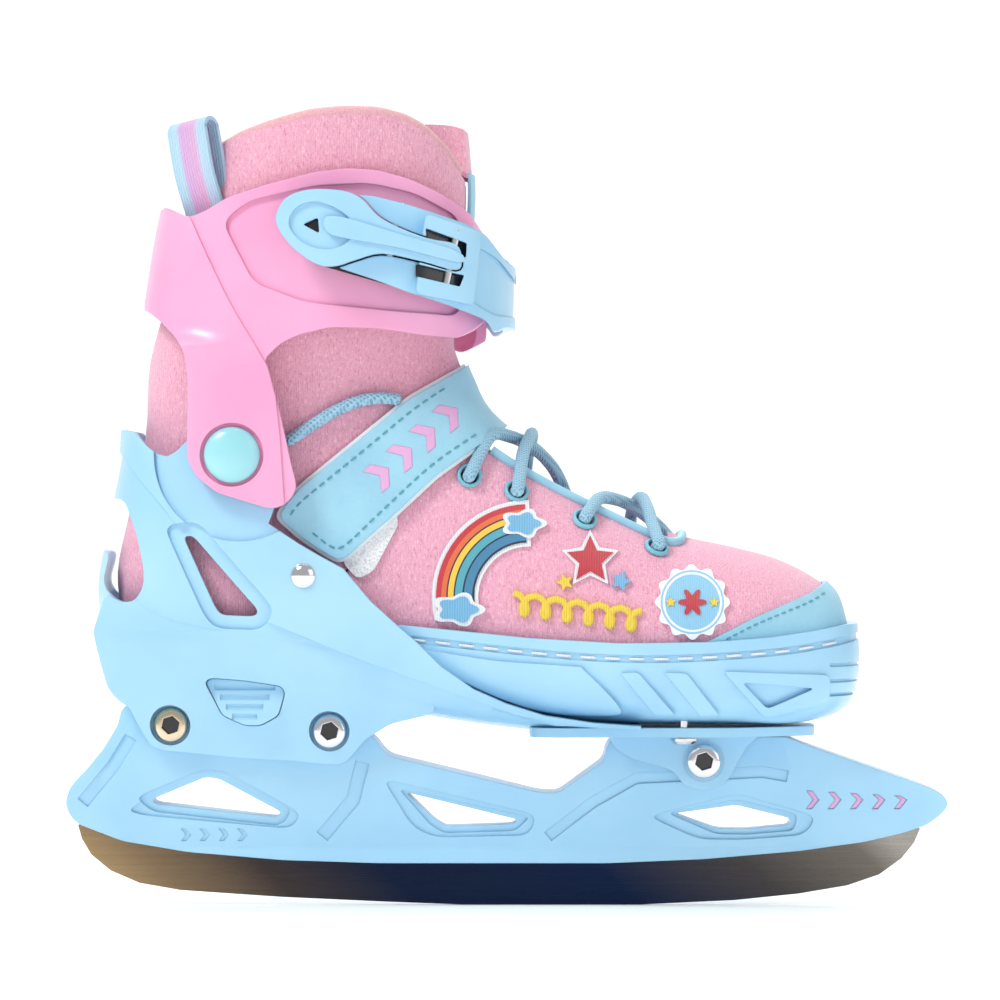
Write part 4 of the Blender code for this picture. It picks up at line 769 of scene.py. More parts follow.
HOLDER_RELIEF = [
    (rounded([(-118, 30.6), (-95.5, 43.4), (-86.5, 43.4), (-62.5, 29.5), (-66, 24.6), (-113, 29)], 4), 0.8),
    (rounded(grown(WINDOWS[0], 2.6), 3), 1.7),
    (rounded([(-36.5, 40.8), (12.5, 29), (10, 22.4), (-20, 21.8), (-27, 25)], 4), 0.8),
    (rounded(grown(WINDOWS[1], 2.2), 2), 1.7),
    (rounded([(48, 28.6), (75.8, 36), (101.5, 28.6), (98, 22.6), (78, 21), (64, 21.2)], 4), 0.8),
    (rounded(grown(WINDOWS[2], 1.8), 2), 1.7),
    (ribbon_outline([(-56, 22), (-46, 34), (-43, 46)], 2.2), 0.6),
    (ribbon_outline([(16, 22), (30, 33), (44, 41), (84, 43), (92, 41.6)], 1.8), 0.6),
    (ribbon_outline([(-132, 33), (-122, 45), (-116.5, 54)], 2), 0.6),
]


def chevron(left, right, tip, notch, low, middle, high):
    """An arrow that points to the toe."""
    return [(left, low), (right, low), (tip, middle), (right, high), (left, high), (notch, middle)]


def taper(inset, low=-160, high=160):
    half, foot = 13 - inset, 4.5 - inset
    return prism("taper", [(-half, 90), (-half, 42), (-foot, 19), (-foot, 5), (foot, 5), (foot, 19),
                           (half, 42),
                           (half, 90)], low, high, "YZ")


def sink(holder, outline, depth):
    """Sinks an outline into both tapered sides."""
    tool = prism("sink", outline, -20, 20)
    cut(tool, taper(depth))
    return cut(holder, tool)


def make_holder():
    holder = prism("holder_look", rounded(HOLDER, 2, 3), -13, 13, material=BLUE)
    cut(holder, taper(0), operation="INTERSECT")
    for outline, depth in HOLDER_RELIEF:
        sink(holder, outline, depth)
    for number in range(5):
        x = 98 + number * 7
        top = 37 - 0.4 * number
        sink(holder, chevron(x, x + 2, x + 4.2, x + 2.2, 31, 34, top), 0.4)
        mark = chevron(x + 0.2, x + 1.9, x + 4, x + 2.4, 31.2, 34, top - 0.2)
        inlay = prism("front_mark_%d" % number, mark, -13, 13, material=PRINT)
        cut(inlay, taper(0.25), operation="INTERSECT")
        cut(inlay, prism("core", [(90, 25), (140, 25), (140, 45), (90, 45)], -5, 5))
        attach(inlay, "shell")
    for number in range(4):
        x = -101 + number * 6
        sink(holder, chevron(x, x + 1.6, x + 3.2, x + 1.6, 20.6, 22.6, 24.6), 0.4)
    for window in WINDOWS:
        cut(holder, prism("window", rounded(window, 1.6), -20, 20))
    cut(holder, prism("slot", [(-133, 2), (133, 2), (133, 27), (116, 27.4), (60, 21.6), (-60, 21.6),
                               (-116, 26.6), (-133, 26)],
                      -1.8, 1.8))
    for x, z in BOLTS.values():
        cut(holder, bore(x, z, BOLT_BORE, -30, 30))
    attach(finish(holder, BLUE), "shell")
    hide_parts("blade_holder")


# ---------------------------------------------------------------- rear shell

SHELL_EDGE = [(-69, 144), (-69.5, 128), (-71.7, 121.9), (-62, 115.5), (-56, 112), (-48.3, 107.8),
              (-39.7, 97.6), (-32, 90.6), (-25, 84.5), (-17.6, 77.1), (-7.4, 70), (2.6, 65.6),
              (14.7, 61.8), (30, 59.5), (45, 58.4)]
SHELL_WING = [(-145, 151.6), (-117.4, 151.4), (-114.6, 150.8), (-110.4, 146.2), (-106.9, 143.7),
              (-103.7, 143),
              (-100.8, 144.6)]
HEEL_OPENING = [(-118, 129.6), (-145, 131), (-145, 114), (-122.6, 113.3), (-125.1, 103.4),
                (-123, 99.5), (-118.5, 97), (-114.5, 97.4), (-111.6, 101.5), (-111.2, 107), (-113.4, 117.5)]
WING_WINDOW = [(-98.6, 117.8), (-95.6, 118.2), (-75, 94.6), (-76.2, 92.8), (-86.6, 93.2), (-88.4, 95.2)]


def button_outline():
    x, z = BUTTON
    return rounded([(x - 12.3, z + 6), (x - 10.5, z + 7.2), (x, z + 6.4), (x + 11.5, z + 4.6),
                    (x + 12.6, z + 2.5),
                    (x + 10.5, z - 4.5), (x + 5, z - 7.6), (x, z - 7.6), (x - 7, z - 4.4)], 1.5, 4)


def make_rear_shell():
    ear = polar(*PIVOT, 14.2, [math.radians(a) for a in range(155, 25, -12)])
    outline = SHELL_WING + ear + SHELL_EDGE + [(45, 45), (-145, 45)]
    shell = loft("rear_shell_look", FINE_BOOT, REAR_OUTER, BLUE)
    cut(shell, prism("outline", outline, -WIDE, WIDE), operation="INTERSECT")
    block = prism("block", rounded([
        (-127, 88), (-122.9, 70.4), (-119.4, 65.8), (-116, 64), (-113.6, 58.6), (-110, 52),
        (-106.6, 50.2), (-81, 47.7), (-63.7, 46.7), (-52.5, 45.4), (-48.3, 46.1), (-45, 49.6),
        (-42.2, 53.4), (-34, 58.6), (-20, 62), (-20, 70), (-40, 84),
        (-60, 98), (-112, 101), (-124, 99)], 2, 3), -60, 60)
    draft = [(-LUG_HALF, 16), (-LUG_HALF, 46), (-31.5, 82), (-31, 88), (-21, 106), (21, 106), (31, 88),
             (31.5, 82), (LUG_HALF, 46),
             (LUG_HALF, 16)]
    cut(block, prism("draft", draft, -130, -10, "YZ"), operation="INTERSECT")
    half = LUG_HALF + 11
    tray = prism("tray", rounded([(10, -half), (74, -half), (101, -half + 15), (101, half - 15), (74, half),
                                  (10, half)], 8),
                 TRAY_BOTTOM, TRAY_TOP, "XY")
    x, z = BOLTS["front"]
    lug = [(34.5, TRAY_TOP - 0.6), (36.5, 51), (43, 47), (x - 9.5, z - 3), (x - 6.5, z - 7.8), (x, z - 9.6),
           (x + 6.5, z - 7.8), (x + 9.5, z - 3), (x + 13, 50.5), (x + 20, TRAY_TOP - 0.6)]
    cut(tray, prism("lug", rounded(lug, 2.5, 3), -LUG_HALF, LUG_HALF), operation="UNION")
    cut(shell, tray, block, operation="UNION")
    cut(shell, loft("hollow", FINE_BOOT, REAR_INNER, extend=(0, 4)))
    cut(shell, prism("room", grown(HOLDER, 0.3), -13.3, 13.3))
    cut(shell, prism("heel", rounded(HEEL_OPENING, 3), -WIDE, WIDE),
        prism("wing", rounded(WING_WINDOW, 2.5), -WIDE, WIDE))
    engrave(shell, FINE_BOOT, REAR_OUTER, 1.1, rounded(grown(WING_WINDOW, 4.2), 4))
    arm = smooth_line([(-122, 147), (-114.4, 137.5), (-101.5, 122.5), (-92, 107), (-84, 96.5),
                       (-68, 89.4), (-43.9, 79.5), (-12, 68), (14, 59.4), (40, 54)])
    arm += [(60, 54), (60, 170), (-140, 170), (-140, 147)]
    keep = prism("arm", arm, -WIDE, WIDE)
    lift = loft("lift", FINE_BOOT, REAR_OUTER + 1.3, BLUE)
    cut(lift, loft("core", FINE_BOOT, REAR_OUTER - 0.8, extend=(4, 4)),
        prism("below", [(-150, 40), (60, 40), (60, 58.4), (-150, 58.4)], -80, 80))
    cut(lift, keep, operation="INTERSECT")
    cut(lift, prism("edge", outline, -WIDE, WIDE), operation="INTERSECT")
    cut(lift, bore(PIVOT[0] + 2, PIVOT[1], CUFF_SWEEP, -80, 80, 64))
    cut(lift, prism("heel", rounded(HEEL_OPENING, 3), -WIDE, WIDE),
        prism("wing", rounded(grown(WING_WINDOW, 4.2), 4), -WIDE, WIDE))
    cut(shell, lift, operation="UNION")
    for x, z in BOLTS.values():
        cut(shell, bore(x, z, BOLT_BORE, -50, 50))
        for side in (-1, 1):
            cut(shell, bore(x, z, 6.4, side * (LUG_HALF - 0.1), side * 50, 48))
    cut(shell, bore(*PIVOT, PIVOT_BORE))
    cut(shell, prism("pocket", grown(button_outline(), 0.25), -45, -17))
    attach(finish(shell, BLUE), "shell")
    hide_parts("rear_shell")


def make_button():
    x, z = BUTTON
    face = -LUG_HALF - 7.4
    button = prism("size_button_look", button_outline(), face, face + 3, material=BLUE)
    for number in range(4):
        level = z + 4.4 - 3.1 * number
        half_width = 9.6 - 1.9 * number
        tool = rod("groove", (x - half_width, face - 0.1, level), (x + half_width, face - 0.1, level), 0.9,
                   16)
        cut(button, tool)
    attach(finish(button, BLUE), "button")
    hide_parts("size_button")


def make_fasteners():
    for name, (x, z) in BOLTS.items():
        look = GOLDEN if name == "rear" else CHROME
        seat_y = -LUG_HALF - 0.3
        bolt = turned("bolt_look_" + name, [
            (0, 3), (3.9, 3), (4.7, 2.8), (5.25, 2.3), (5.4, 1.6), (5.4, 0), (3, 0), (3, -20), (0, -20),
        ], (x, seat_y, z), (0, -1, 0), look)
        hexagon = polar(x, z, 3, [a + 0.3 for a in turn(6)])
        cut(bolt, prism("hex", hexagon, seat_y - 9, seat_y - 0.8))
        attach(finish(bolt, look), "shell")
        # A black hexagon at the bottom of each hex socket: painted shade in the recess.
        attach(prism("socket_" + name, hexagon, seat_y - 1.1, seat_y - 0.7, material=BLACK), "shell")
        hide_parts("frame_bolt_" + name)
        nut = turned("nut_look_" + name, [
            (3.4, 2.6), (4.2, 2.6), (5, 2.3), (5.4, 1.6), (5.4, 0), (3.4, 0),
        ], (x, LUG_HALF + 0.3, z), (0, 1, 0), CHROME)
        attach(nut, "shell")
        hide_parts("frame_nut_" + name)
    for name, side in (("lateral", -1), ("medial", 1)):
        point, normal = seat(FINE_BOOT, *RIVET, side, REAR_OUTER, 4.4)
        rivet = turned("rivet_look_" + name, [
            (0, 3), (1.4, 2.9), (2.6, 2.5), (3.6, 1.8), (4.2, 1), (4.35, 0.4), (4.35, 0.3), (0, 0.3),
        ], point, normal, CHROME)
        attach(rivet, "shell")
        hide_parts("shell_rivet_" + name)
        level = CUFF_OUTER_Y - 1.3
        cap = turned("cap_look_" + name, [
            (0, level + 4.2), (2.4, level + 4.1), (4.8, level + 3.75), (6.8, level + 3.1), (8.1, level + 2.3),
            (8.7, level + 1.5), (8.8, level + 0.9), (8.8, level + 0.3), (5.8, level + 0.3), (0, level + 1.4),
        ], (PIVOT[0], 0, PIVOT[1]), (0, side, 0), MINT, 64)
        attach(cap, "cuff")
        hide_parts("pivot_cap_" + name)


# ---------------------------------------------------------------- toe shell

TOE_RELIEF = 1.2
TOE_RIM = [(-31, 90.2), (9.6, 86.2), (37.8, 84.6), (66, 85), (84.8, 86.4), (98.9, 88.3), (110, 90.2),
           (125, 90.6)]
TOE_GROOVE = [(-27, 85.6), (12.8, 81.4), (38.7, 79.8), (62.4, 80.1), (88.3, 82), (104.6, 84.5), (113.3, 86.4)]


def make_toe_shell():
    shell = skin("toe_shell_look", FINE_BOOT, TOE_INNER, TOE_OUTER,
                 TOE_RIM + [(125, 50), (-44, 50), (-44, 66)], BLUE, ends=(0, 0))
    lens = curved([(-26, 82), (0, 79), (24, 77.4), (27.2, 76), (38.6, 63.6), (32, 61.6), (14, 62.8),
                   (-6, 70)])
    raised = [lens, rounded([(38.1, 75.4), (43.8, 75.6), (55.7, 61.8), (49.6, 61.4)], 1),
              rounded([(51.8, 75.6), (58.9, 75.3), (69.4, 61.8), (63.7, 61.2)], 1),
              rounded([(70, 76), (104, 74.6), (104, 66), (84, 60.5)], 2)]
    for outline in raised:
        engrave(shell, FINE_BOOT, TOE_OUTER, -TOE_RELIEF, outline)
    engrave(shell, FINE_BOOT, TOE_OUTER + TOE_RELIEF, 1.4,
            rounded([(76.2, 72.4), (99, 70.4), (84.2, 64)], 1.6))
    groove = smooth_line(TOE_GROOVE + [(119, 87.2), (128, 87.4)])
    engrave(shell, FINE_BOOT, TOE_OUTER, 0.7, ribbon_outline(groove, 1.1))
    for level in (77.6, 72.6, 68.2):
        engrave(shell, FINE_BOOT, TOE_OUTER, 0.6,
                [(104, level - 0.5), (125, level - 0.2), (125, level + 0.8), (104, level + 0.5)])
    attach(finish(shell, BLUE), "toe")
    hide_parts("toe_shell")
    for side in (-1, 1):
        stitches("toe_shell_stitch_%d" % (side + 1), FINE_BOOT, [TOE_GROOVE], TOE_OUTER - 0.6, "toe", side,
                 7.6, 4.6, 0.42, WHITE_THREAD)


# ---------------------------------------------------------------- cuff

CUFF_SIDE = [(-116, 219), (-108.6, 221.4), (-106.2, 222), (-104, 221.4), (-97, 217.8), (-91, 220),
             (-84.8, 223.7), (-71.7, 227.8), (-57, 231.6), (-47, 232.8), (-37.4, 232.2), (-27.5, 229.6),
             (-17.6, 225.2), (-9, 219.8), (-3.4, 212)]
CUFF_LOWER = [(-22.7, 180.8), (-37.4, 182.9), (-52, 183.3), (-61.8, 181), (-67.8, 178.2), (-72.8, 173.4),
              (-71.7, 170.6), (-67.8, 155.8), (-64.6, 141), (-62.7, 133.6), (-64.2, 130), (-67.8, 127),
              (-71.7, 126.7), (-87.4, 131.5), (-94, 136.5), (-96.8, 142), (-97, 146), (-96.6, 165.8),
              (-97.9, 175.7), (-101.1, 180.5), (-106.9, 186.2), (-111, 189.2), (-118, 191.6)]


def make_cuff():
    lateral = CUFF_SIDE + [(2, 206), (2, 192), (-7.6, 182.8), (-12.8, 180.2)] + CUFF_LOWER
    medial = CUFF_SIDE + [(2, 206), (2, 184), (-6, 179.4), (-11.5, 176.8), (-17.5, 179.6)] + CUFF_LOWER
    cuff = loft("cuff_look", FINE_CUFF, 0, PINK)
    cut(cuff, loft("hollow", FINE_CUFF, -CUFF_WALL, extend=(5, 5)))
    crest = [(-120, 225), (-97, 218.6)]
    crest += smooth_line([(-96, 217), (-90, 204), (-83, 190), (-75, 176.5), (-70, 168)])
    crest += [(-68, 150), (-66, 120), (-130, 120), (-130, 225)]
    engrave(cuff, FINE_CUFF, 0, -0.6, crest)
    sides = prism("sides", rounded(lateral, 2, 3), -70, 1)
    cut(sides, prism("medial", rounded(medial, 2, 3), -1, 70), operation="UNION")
    cut(cuff, sides, operation="INTERSECT")
    front = prism("front", rounded([(-40, -12), (20, -12), (20, 12), (-40, 12)], 3), 150, 260, "XY")
    cut(cuff, front)
    panel = [(-86, 216.2), (-78, 222.6), (-57, 227.4), (-40, 228.2), (-26, 225.2), (-12, 218),
             (-12, 187), (-34, 188.4), (-60, 191), (-76, 197)]
    engrave(cuff, FINE_CUFF, 0, 1.2, rounded(panel, 4))
    cut(cuff, bore(*PIVOT, PIVOT_BORE))
    for side in (-1, 1):
        cut(cuff, bore(*PIVOT, 9.9, side * (CUFF_OUTER_Y - 1.3), side * 60, 64))
    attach(finish(cuff, PINK), "cuff")
    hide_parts("cuff")


# ---------------------------------------------------------------- buckle

UPPER_CUFF = smooth_stations(CUFF)[2 * FINE:]
BAND = (4.6, 8.6)
LEVER = (9.1, 12.3)
BAND_TOP = [(-44.5, 224), (-38.4, 223.6), (-27.8, 221), (-9.3, 215.3), (-3.8, 212.4), (2.2, 205), (14, 198)]
BAND_BOTTOM = [(14, 183), (2.9, 184), (-1.3, 181.8), (-3.5, 185.6), (-8.3, 187.5), (-17.3, 190.7),
               (-27.8, 193.9), (-38.4, 197.8), (-50, 201.6)]


SLOTS = [[(-22.4, 213.6), (-9.6, 209.2), (-9.9, 204.6), (-12.4, 205.2), (-22, 209.4)],
         [(-25.4, 202.6), (-12.8, 199.6), (-10.4, 199.2), (-11.8, 195.6), (-25.4, 198.6)]]


def lever_outline():
    px, pz = LEVER_PIN
    return curved([(-68.6, 215.6), (-67.8, 219.6), (-64.6, 223.4), (-58, 225.4), (-48, 225), (-42, 222.4),
                   (-37, 217.2), (-30.4, 213.6), (-21.5, 210.4), (px + 1.4, pz + 4.2), (px + 3.2, pz - 0.4),
                   (px + 1.4, pz - 3.8), (-24, 203.4), (-35.8, 205.6), (-44, 203.6), (-49.6, 201.8),
                   (-55.4, 202), (-62, 206.2), (-66.6, 211.2)], 4)


def make_wrap():
    """The strap round the shin. The CAD part has a hinge line on its medial side."""
    strap = loft("wrap_strap_look", UPPER_CUFF, BAND[1], BLUE)
    cut(strap, loft("hollow", UPPER_CUFF, BAND[0], extend=(4, 4)))
    medial = prism("medial", rounded([(-52, 220.5), (-50, 200.5), (20, 181), (20, 203)], 4), 34, 70)
    keep = prism("keep", rounded(BAND_TOP + BAND_BOTTOM, 1.6, 3), -70, 30)
    cut(keep, medial, operation="UNION")
    cut(keep, prism("bridge", [(-24, 215), (-24, 193), (14, 184), (14, 199), (0, 209)], 20, 60),
        operation="UNION")
    cut(strap, keep, operation="INTERSECT")
    engrave(strap, UPPER_CUFF, BAND[1], 0.7,
            rounded([(-6.4, 208.6), (0, 205), (8, 196), (8, 187.4), (-0.6, 187), (-8, 191)], 2), low=-70,
            high=36)
    cheeks = loft("cheeks", UPPER_CUFF, LEVER[1] + 0.2, BLUE)
    cut(cheeks, loft("core", UPPER_CUFF, BAND[1] - 0.6, extend=(4, 4)))
    px, pz = LEVER_PIN
    cut(cheeks, prism("frame", rounded([(px - 8, pz + 13.6), (px + 9.5, pz + 8.4), (px + 7, pz - 14.6),
                                        (px - 11, pz - 11.4)], 2),
                      -70, 0), operation="INTERSECT")
    cut(strap, cheeks, operation="UNION")
    cut(strap, prism("notch", grown(lever_outline(), 0.5), -70, 0))
    for hole in SLOTS:
        cut(strap, prism("hole", rounded(hole, 0.6), -70, 0))
    for number in range(3):
        x = 5.6 + number * 1.8
        engrave(strap, UPPER_CUFF, BAND[1], 0.5, [(x, 186.4), (x + 0.7, 186.4), (x + 0.7, 200.5), (x, 200.8)],
                low=-34, high=0)
    point, normal = seat(FINE_CUFF, -42, 211, 1, 0)
    cut(strap, rod("bore", point - normal * 9, point + normal * 14, 2.1))
    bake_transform(finish(strap, BLUE))
    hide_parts("wrap_strap", "wrap_anchor")
    for number, hole in enumerate(SLOTS):
        insert = skin("slot_insert_%d" % number, UPPER_CUFF, 6.2, 9.6, rounded(grown(hole, -0.15), 0.6),
                      BLACK, high=0, ends=(3, 3))
        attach(insert, "wrap")


def make_lever():
    lever = skin("buckle_lever_look", UPPER_CUFF, *LEVER, lever_outline(), BLUE, high=0, ends=(3, 3))
    eye = rounded([(-60.4, 214.6), (-55.6, 216.8), (-55.2, 211.8)], 1)
    engrave(lever, UPPER_CUFF, LEVER[1], 1,
            curved([(-64.6, 214.6), (-62.4, 219.6), (-57, 221.6), (-51, 220), (-46, 216.4),
                                                      (-45, 211.4), (-48.6, 207.8), (-55, 207), (-61, 209.6)],
                                                      4))
    engrave(lever, UPPER_CUFF, LEVER[1], -0.9,
            curved([(-53.6, 216.4), (-48, 216.8), (-30, 211.6), (-12.6, 206.6), (-12, 203),
                                                      (-30, 207.2), (-46, 210), (-52.6, 212)], 4), high=0)
    cut(lever, prism("eye", eye, -70, 0))
    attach(finish(lever, BLUE), "lever")
    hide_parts("buckle_lever")


def make_buckle_base():
    base = skin("buckle_base_look", UPPER_CUFF, 0.3, 1.7,
                rounded([(-63, 219), (-59, 203.4), (-24, 193.4), (-20, 212)], 4), BLACK,
                high=0, ends=(3, 3))
    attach(base, "cuff")
    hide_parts("buckle_base")
    ladder = skin("ladder_strap_look", UPPER_CUFF, 2.1, 4,
                  rounded([(-60, 221.2), (-58, 211.2), (-5.5, 196.8), (-3.2, 206.6)], 3),
                  BLACK, high=-3, ends=(3, 3))
    for number in range(14):
        x = -52 + 3 * number
        z = 217.4 - 0.27 * (x + 52)
        engrave(ladder, UPPER_CUFF, 4, 0.7,
                [(x, z - 7.5), (x + 1.2, z - 7.9), (x + 1.2, z + 1.4), (x, z + 1.8)], high=-3)
    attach(finish(ladder, BLACK), "cuff")
    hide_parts("ladder_strap")


# ---------------------------------------------------------------- soft boot

VAMP_BACK = [(8, 160), (-0.6, 149.8), (-19.2, 136.6), (-34.2, 122.6), (-43.5, 112), (-50, 103), (-55, 50)]
COLLAR_TOP = [(-96, 236.6), (-92, 238.2), (-87.4, 240.8), (-80, 244.4), (-71.7, 247.2), (-60, 250.4),
              (-52, 251.4),
              (-46, 251.6), (-37.4, 251.4), (-29.4, 249.4), (-23.7, 246.4), (-16.6, 239.6), (-10, 230),
              (6, 215)]


def top_of_collar(x):
    for (a, za), (b, zb) in zip(COLLAR_TOP, COLLAR_TOP[1:]):
        if a <= x <= b:
            return za + (zb - za) * (x - a) / (b - a)
    return COLLAR_TOP[0][1] if x < COLLAR_TOP[0][0] else COLLAR_TOP[-1][1]


def collar_edge(offset, drop):
    """The line round the collar's top edge, open at the tongue."""
    columns = []
    rows = [ring_points(station, offset) for station in FINE_BOOT[-24:]]
    for index in range(COUNT):
        for low, high in zip(rows, rows[1:]):
            a, b = low[index], high[index]
            goal_a, goal_b = a.z - top_of_collar(a.x) + drop, b.z - top_of_collar(b.x) + drop
            if goal_a <= 0 < goal_b:
                columns.append((index, a.lerp(b, goal_a / (goal_a - goal_b))))
                break
    columns = [(i, p) for i, p in columns if not (p.x > -40 and abs(p.y) < 12.5)]
    start = next((k for k in range(len(columns)) if columns[k][0] - columns[k - 1][0] not in (1, 1 - COUNT)),
                 0)
    return [p for _, p in columns[start:] + columns[:start]]


def make_boot():
    back = [(x - 0.8, z) for x, z in VAMP_BACK[1:]]
    outline = [(-150, 50), (-150, 235)] + COLLAR_TOP + [(12, 166), (8, 160.6)] + back
    boot = skin("boot_body", FINE_BOOT[4 * FINE:], -4, 0, outline, TEXTILE, lining=LINING)
    cut(boot, prism("slot", rounded([(-45, -11.5), (20, -11.5), (20, 11.5), (-45, 11.5)], 3), 187.5, 270,
                    "XY"))
    boot.data.shade_smooth()
    boot.data.set_sharp_from_angle(angle=math.radians(45))
    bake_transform(boot)
    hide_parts("boot_heel", "boot_collar")
    rim = tube("collar_binding", [smooth_path(collar_edge(-2, 0.9), 3)], 2.15, BINDING, 4)
    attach(rim, "cuff")


def make_vamp():
    vamp = skin("vamp_look", FINE_BOOT[:12 * FINE + 1], -4, 0, VAMP_BACK + [(125, 50), (125, 160)], TEXTILE,
                lining=LINING)
    throat = rounded([(-60, -19), (54, -19), (54, 19), (-60, 19)], 7)
    cut(vamp, prism("throat", throat, 100, 170, "XY"))
    for x, z, side in EYELETS:
        point, normal = seat(FINE_BOOT, x, z, side, 0)
        cut(vamp, rod("eyelet", point - normal * 9, point + normal * 6, 2.8, 20))
    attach(finish(vamp, None, 45), "toe")
    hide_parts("vamp")
    edge = [(x, 19.6) for x in range(-2, 54, 4)] + [(54.6, 19.6), (57.5, 16), (58.6, 8), (58.8, 0)]
    for side in (-1, 1):
        path = [top_point(x, y * side, 0.6) for x, y in edge]
        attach(tube("throat_piping_%d" % (side + 1), [smooth_path(path, 4)], 1.5, LEATHER), "toe")


def top_point(x, y, offset):
    place, _, _, _ = tree_of(FINE_BOOT[:12 * FINE + 1], offset).ray_cast(Vector((x, y, 300)),
        Vector((0, 0, -1)))
    return place


def make_gusset():
    """Stretch knit inside the boot, which covers the gap that opens at a larger size."""
    gusset = skin("stretch_gusset", FINE_BOOT[:13 * FINE + 1], -5.4, -4.4,
                  [(-8, 160), (-14, 150), (-31, 137), (-46, 122.6), (-57, 112), (-64, 103), (-70, 66),
                   (-38, 66), (-36, 103), (-30, 112), (-20, 122), (-6, 135), (8, 146), (12, 154)], LINING)
    cut(gusset, prism("throat", [(-75, -18.4), (60, -18.4), (60, 18.4), (-75, 18.4)], 97, 170, "XY"))
    gusset.data.shade_smooth()
    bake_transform(gusset)


def make_toe_cap():
    outline = [(125, 106.5), (125, 72), (62, 72), (65, 84.8), (73.3, 89), (80, 92.5), (89.3, 96.3),
               (98.9, 100.2),
               (107, 104.8)]
    cap = skin("toe_cap_look", FINE_BOOT[:7 * FINE + 1], 0.2, 1.3, outline, LEATHER, ends=(0, 0))
    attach(cap, "toe")
    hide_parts("toe_cap")
    for side in (-1, 1):
        stitches("toe_cap_stitch_%d" % (side + 1), FINE_BOOT,
                 [[(67, 83.6), (74, 87.2), (81, 90.6), (90, 94.2), (99, 97.8), (105, 101.2)]],
                 1.3, "toe", side, 2.6, 1.7, 0.26)


def make_tongues():
    lower = skin("tongue_lower_look", FINE_BOOT[3 * FINE:12 * FINE + 1], -13, -10,
                 [(-4, 148), (-9, 128), (20, 116), (60, 98), (66, 125), (30, 150), (0, 165)], TEXTILE,
                 low=-24, high=24)
    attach(lower, "toe")
    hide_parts("tongue_lower")
    upper = skin("tongue_upper_look", FINE_BOOT[14 * FINE:], -12, 0.4,
                 curved([(-36, 245), (-31, 247.6), (-24, 248.6), (-15, 248.2), (-9, 246), (-4, 241),
                         (4, 226)], 4)
                 + [(8, 189), (-30, 189)], TEXTILE, low=-11.1, high=11.1, ends=(8, 8))
    cut(upper, prism("back", [(-140, -20), (-45, -20), (-45, 20), (-140, 20)], 150, 270, "XY"))
    finish(upper, TEXTILE, 45)
    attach(upper, "cuff")
    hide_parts("tongue_upper")
    badge = skin("tongue_badge", FINE_BOOT[14 * FINE:], 0.4, 1.4,
                 [(-30, 235), (12, 231), (12, 196), (-30, 196)], LEATHER,
                 low=-10.6, high=10.6, ends=(8, 8))
    cut(badge, prism("back", [(-140, -20), (-30, -20), (-30, 20), (-140, 20)], 150, 270, "XY"))
    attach(finish(badge, LEATHER, 45), "cuff")


def make_piping():
    route = [(-66, 147.6), (-61, 151), (-54, 155.6), (-47.5, 159), (-42, 160.8), (-36, 161.4), (-31, 160.8)]
    for name, side in (("lateral", -1), ("medial", 1)):
        laid = on_surface(FINE_BOOT, route, side, 2.4, 0.35)
        strands = []
        for phase in range(3):
            strand = []
            for k, (point, normal) in enumerate(laid):
                ahead = (laid[min(k + 1, len(laid) - 1)][0] - laid[max(k - 1, 0)][0]).normalized()
                across = ahead.cross(normal).normalized()
                angle = math.tau * (k * 0.35 / 5.2 + phase / 3)
                strand.append(point + (normal * math.cos(angle) + across * math.sin(angle)) * 0.95)
            strands.append(strand)
        rope = tube("piping_look_" + name, strands, 1.05, PIPING, 2)
        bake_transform(rope)
        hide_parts("ankle_piping_" + name)


# ---------------------------------------------------------------- lacing

def make_lacing():
    seats = [seat(FINE_BOOT, x, z, side, 0) for x, z, side in EYELETS]
    names = ["eyelet_lateral_%d" % n for n in range(1, 5)] + ["eyelet_medial_%d" % n for n in range(1, 5)]
    for name, (point, normal) in zip(names, seats):
        ring = turned(name + "_look", [(2.8, 0.9), (3, 1.35), (3.4, 1.5), (3.8, 1.3), (4, 0.8), (4, 0.2),
                                       (2.8, 0.2)],
                      point, normal, EYELET, 32)
        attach(ring, "toe")
        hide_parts(name)
    above, below = 2.7, -6
    route = []
    for start, end, bulge, lift in ((3, 6, 4, 0), (1, 4, 0, 0), (0, 5, 0, 4.2), (2, 7, 4, 4.2)):
        (out_point, out_normal), (in_point, in_normal) = seats[start], seats[end]
        if route:
            route += over_throat(last, out_point, below, 0, 0)
        route += [out_point + out_normal * below, out_point + out_normal * 0.4,
                  out_point + out_normal * above]
        route += over_throat(out_point, in_point, above, bulge, lift)
        route += [in_point + in_normal * above, in_point + in_normal * 0.4, in_point + in_normal * below]
        last = in_point
    lace = tube("lace_look", [smooth_path(route, 5)], 2.05, CORD, 3)
    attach(lace, "toe")
    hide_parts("lace")


def over_throat(start, end, offset, bulge, lift):
    result = []
    for share in (0.15, 0.3, 0.5, 0.7, 0.85):
        x = start.x + (end.x - start.x) * share + bulge * math.sin(math.pi * share)
        y = start.y + (end.y - start.y) * share
        point = top_point(x, y, offset)
        if point:
            result.append(point + Vector((0, 0, lift * math.sin(math.pi * share) ** 2)))
    return result


# ---------------------------------------------------------------- straps, loop and patches

STRAP = [(-69, 124.2), (-62.7, 132.4), (-42, 149.4), (-27.5, 161.4), (-11.8, 170.5), (0, 179.9), (14, 161.4),
         (-0.6, 150.4),
         (-19.2, 137.2), (-34.2, 123.2), (-43.6, 115), (-47.4, 111.4), (-50.6, 110.6), (-55.4, 113.6),
         (-61.4, 117.4)]


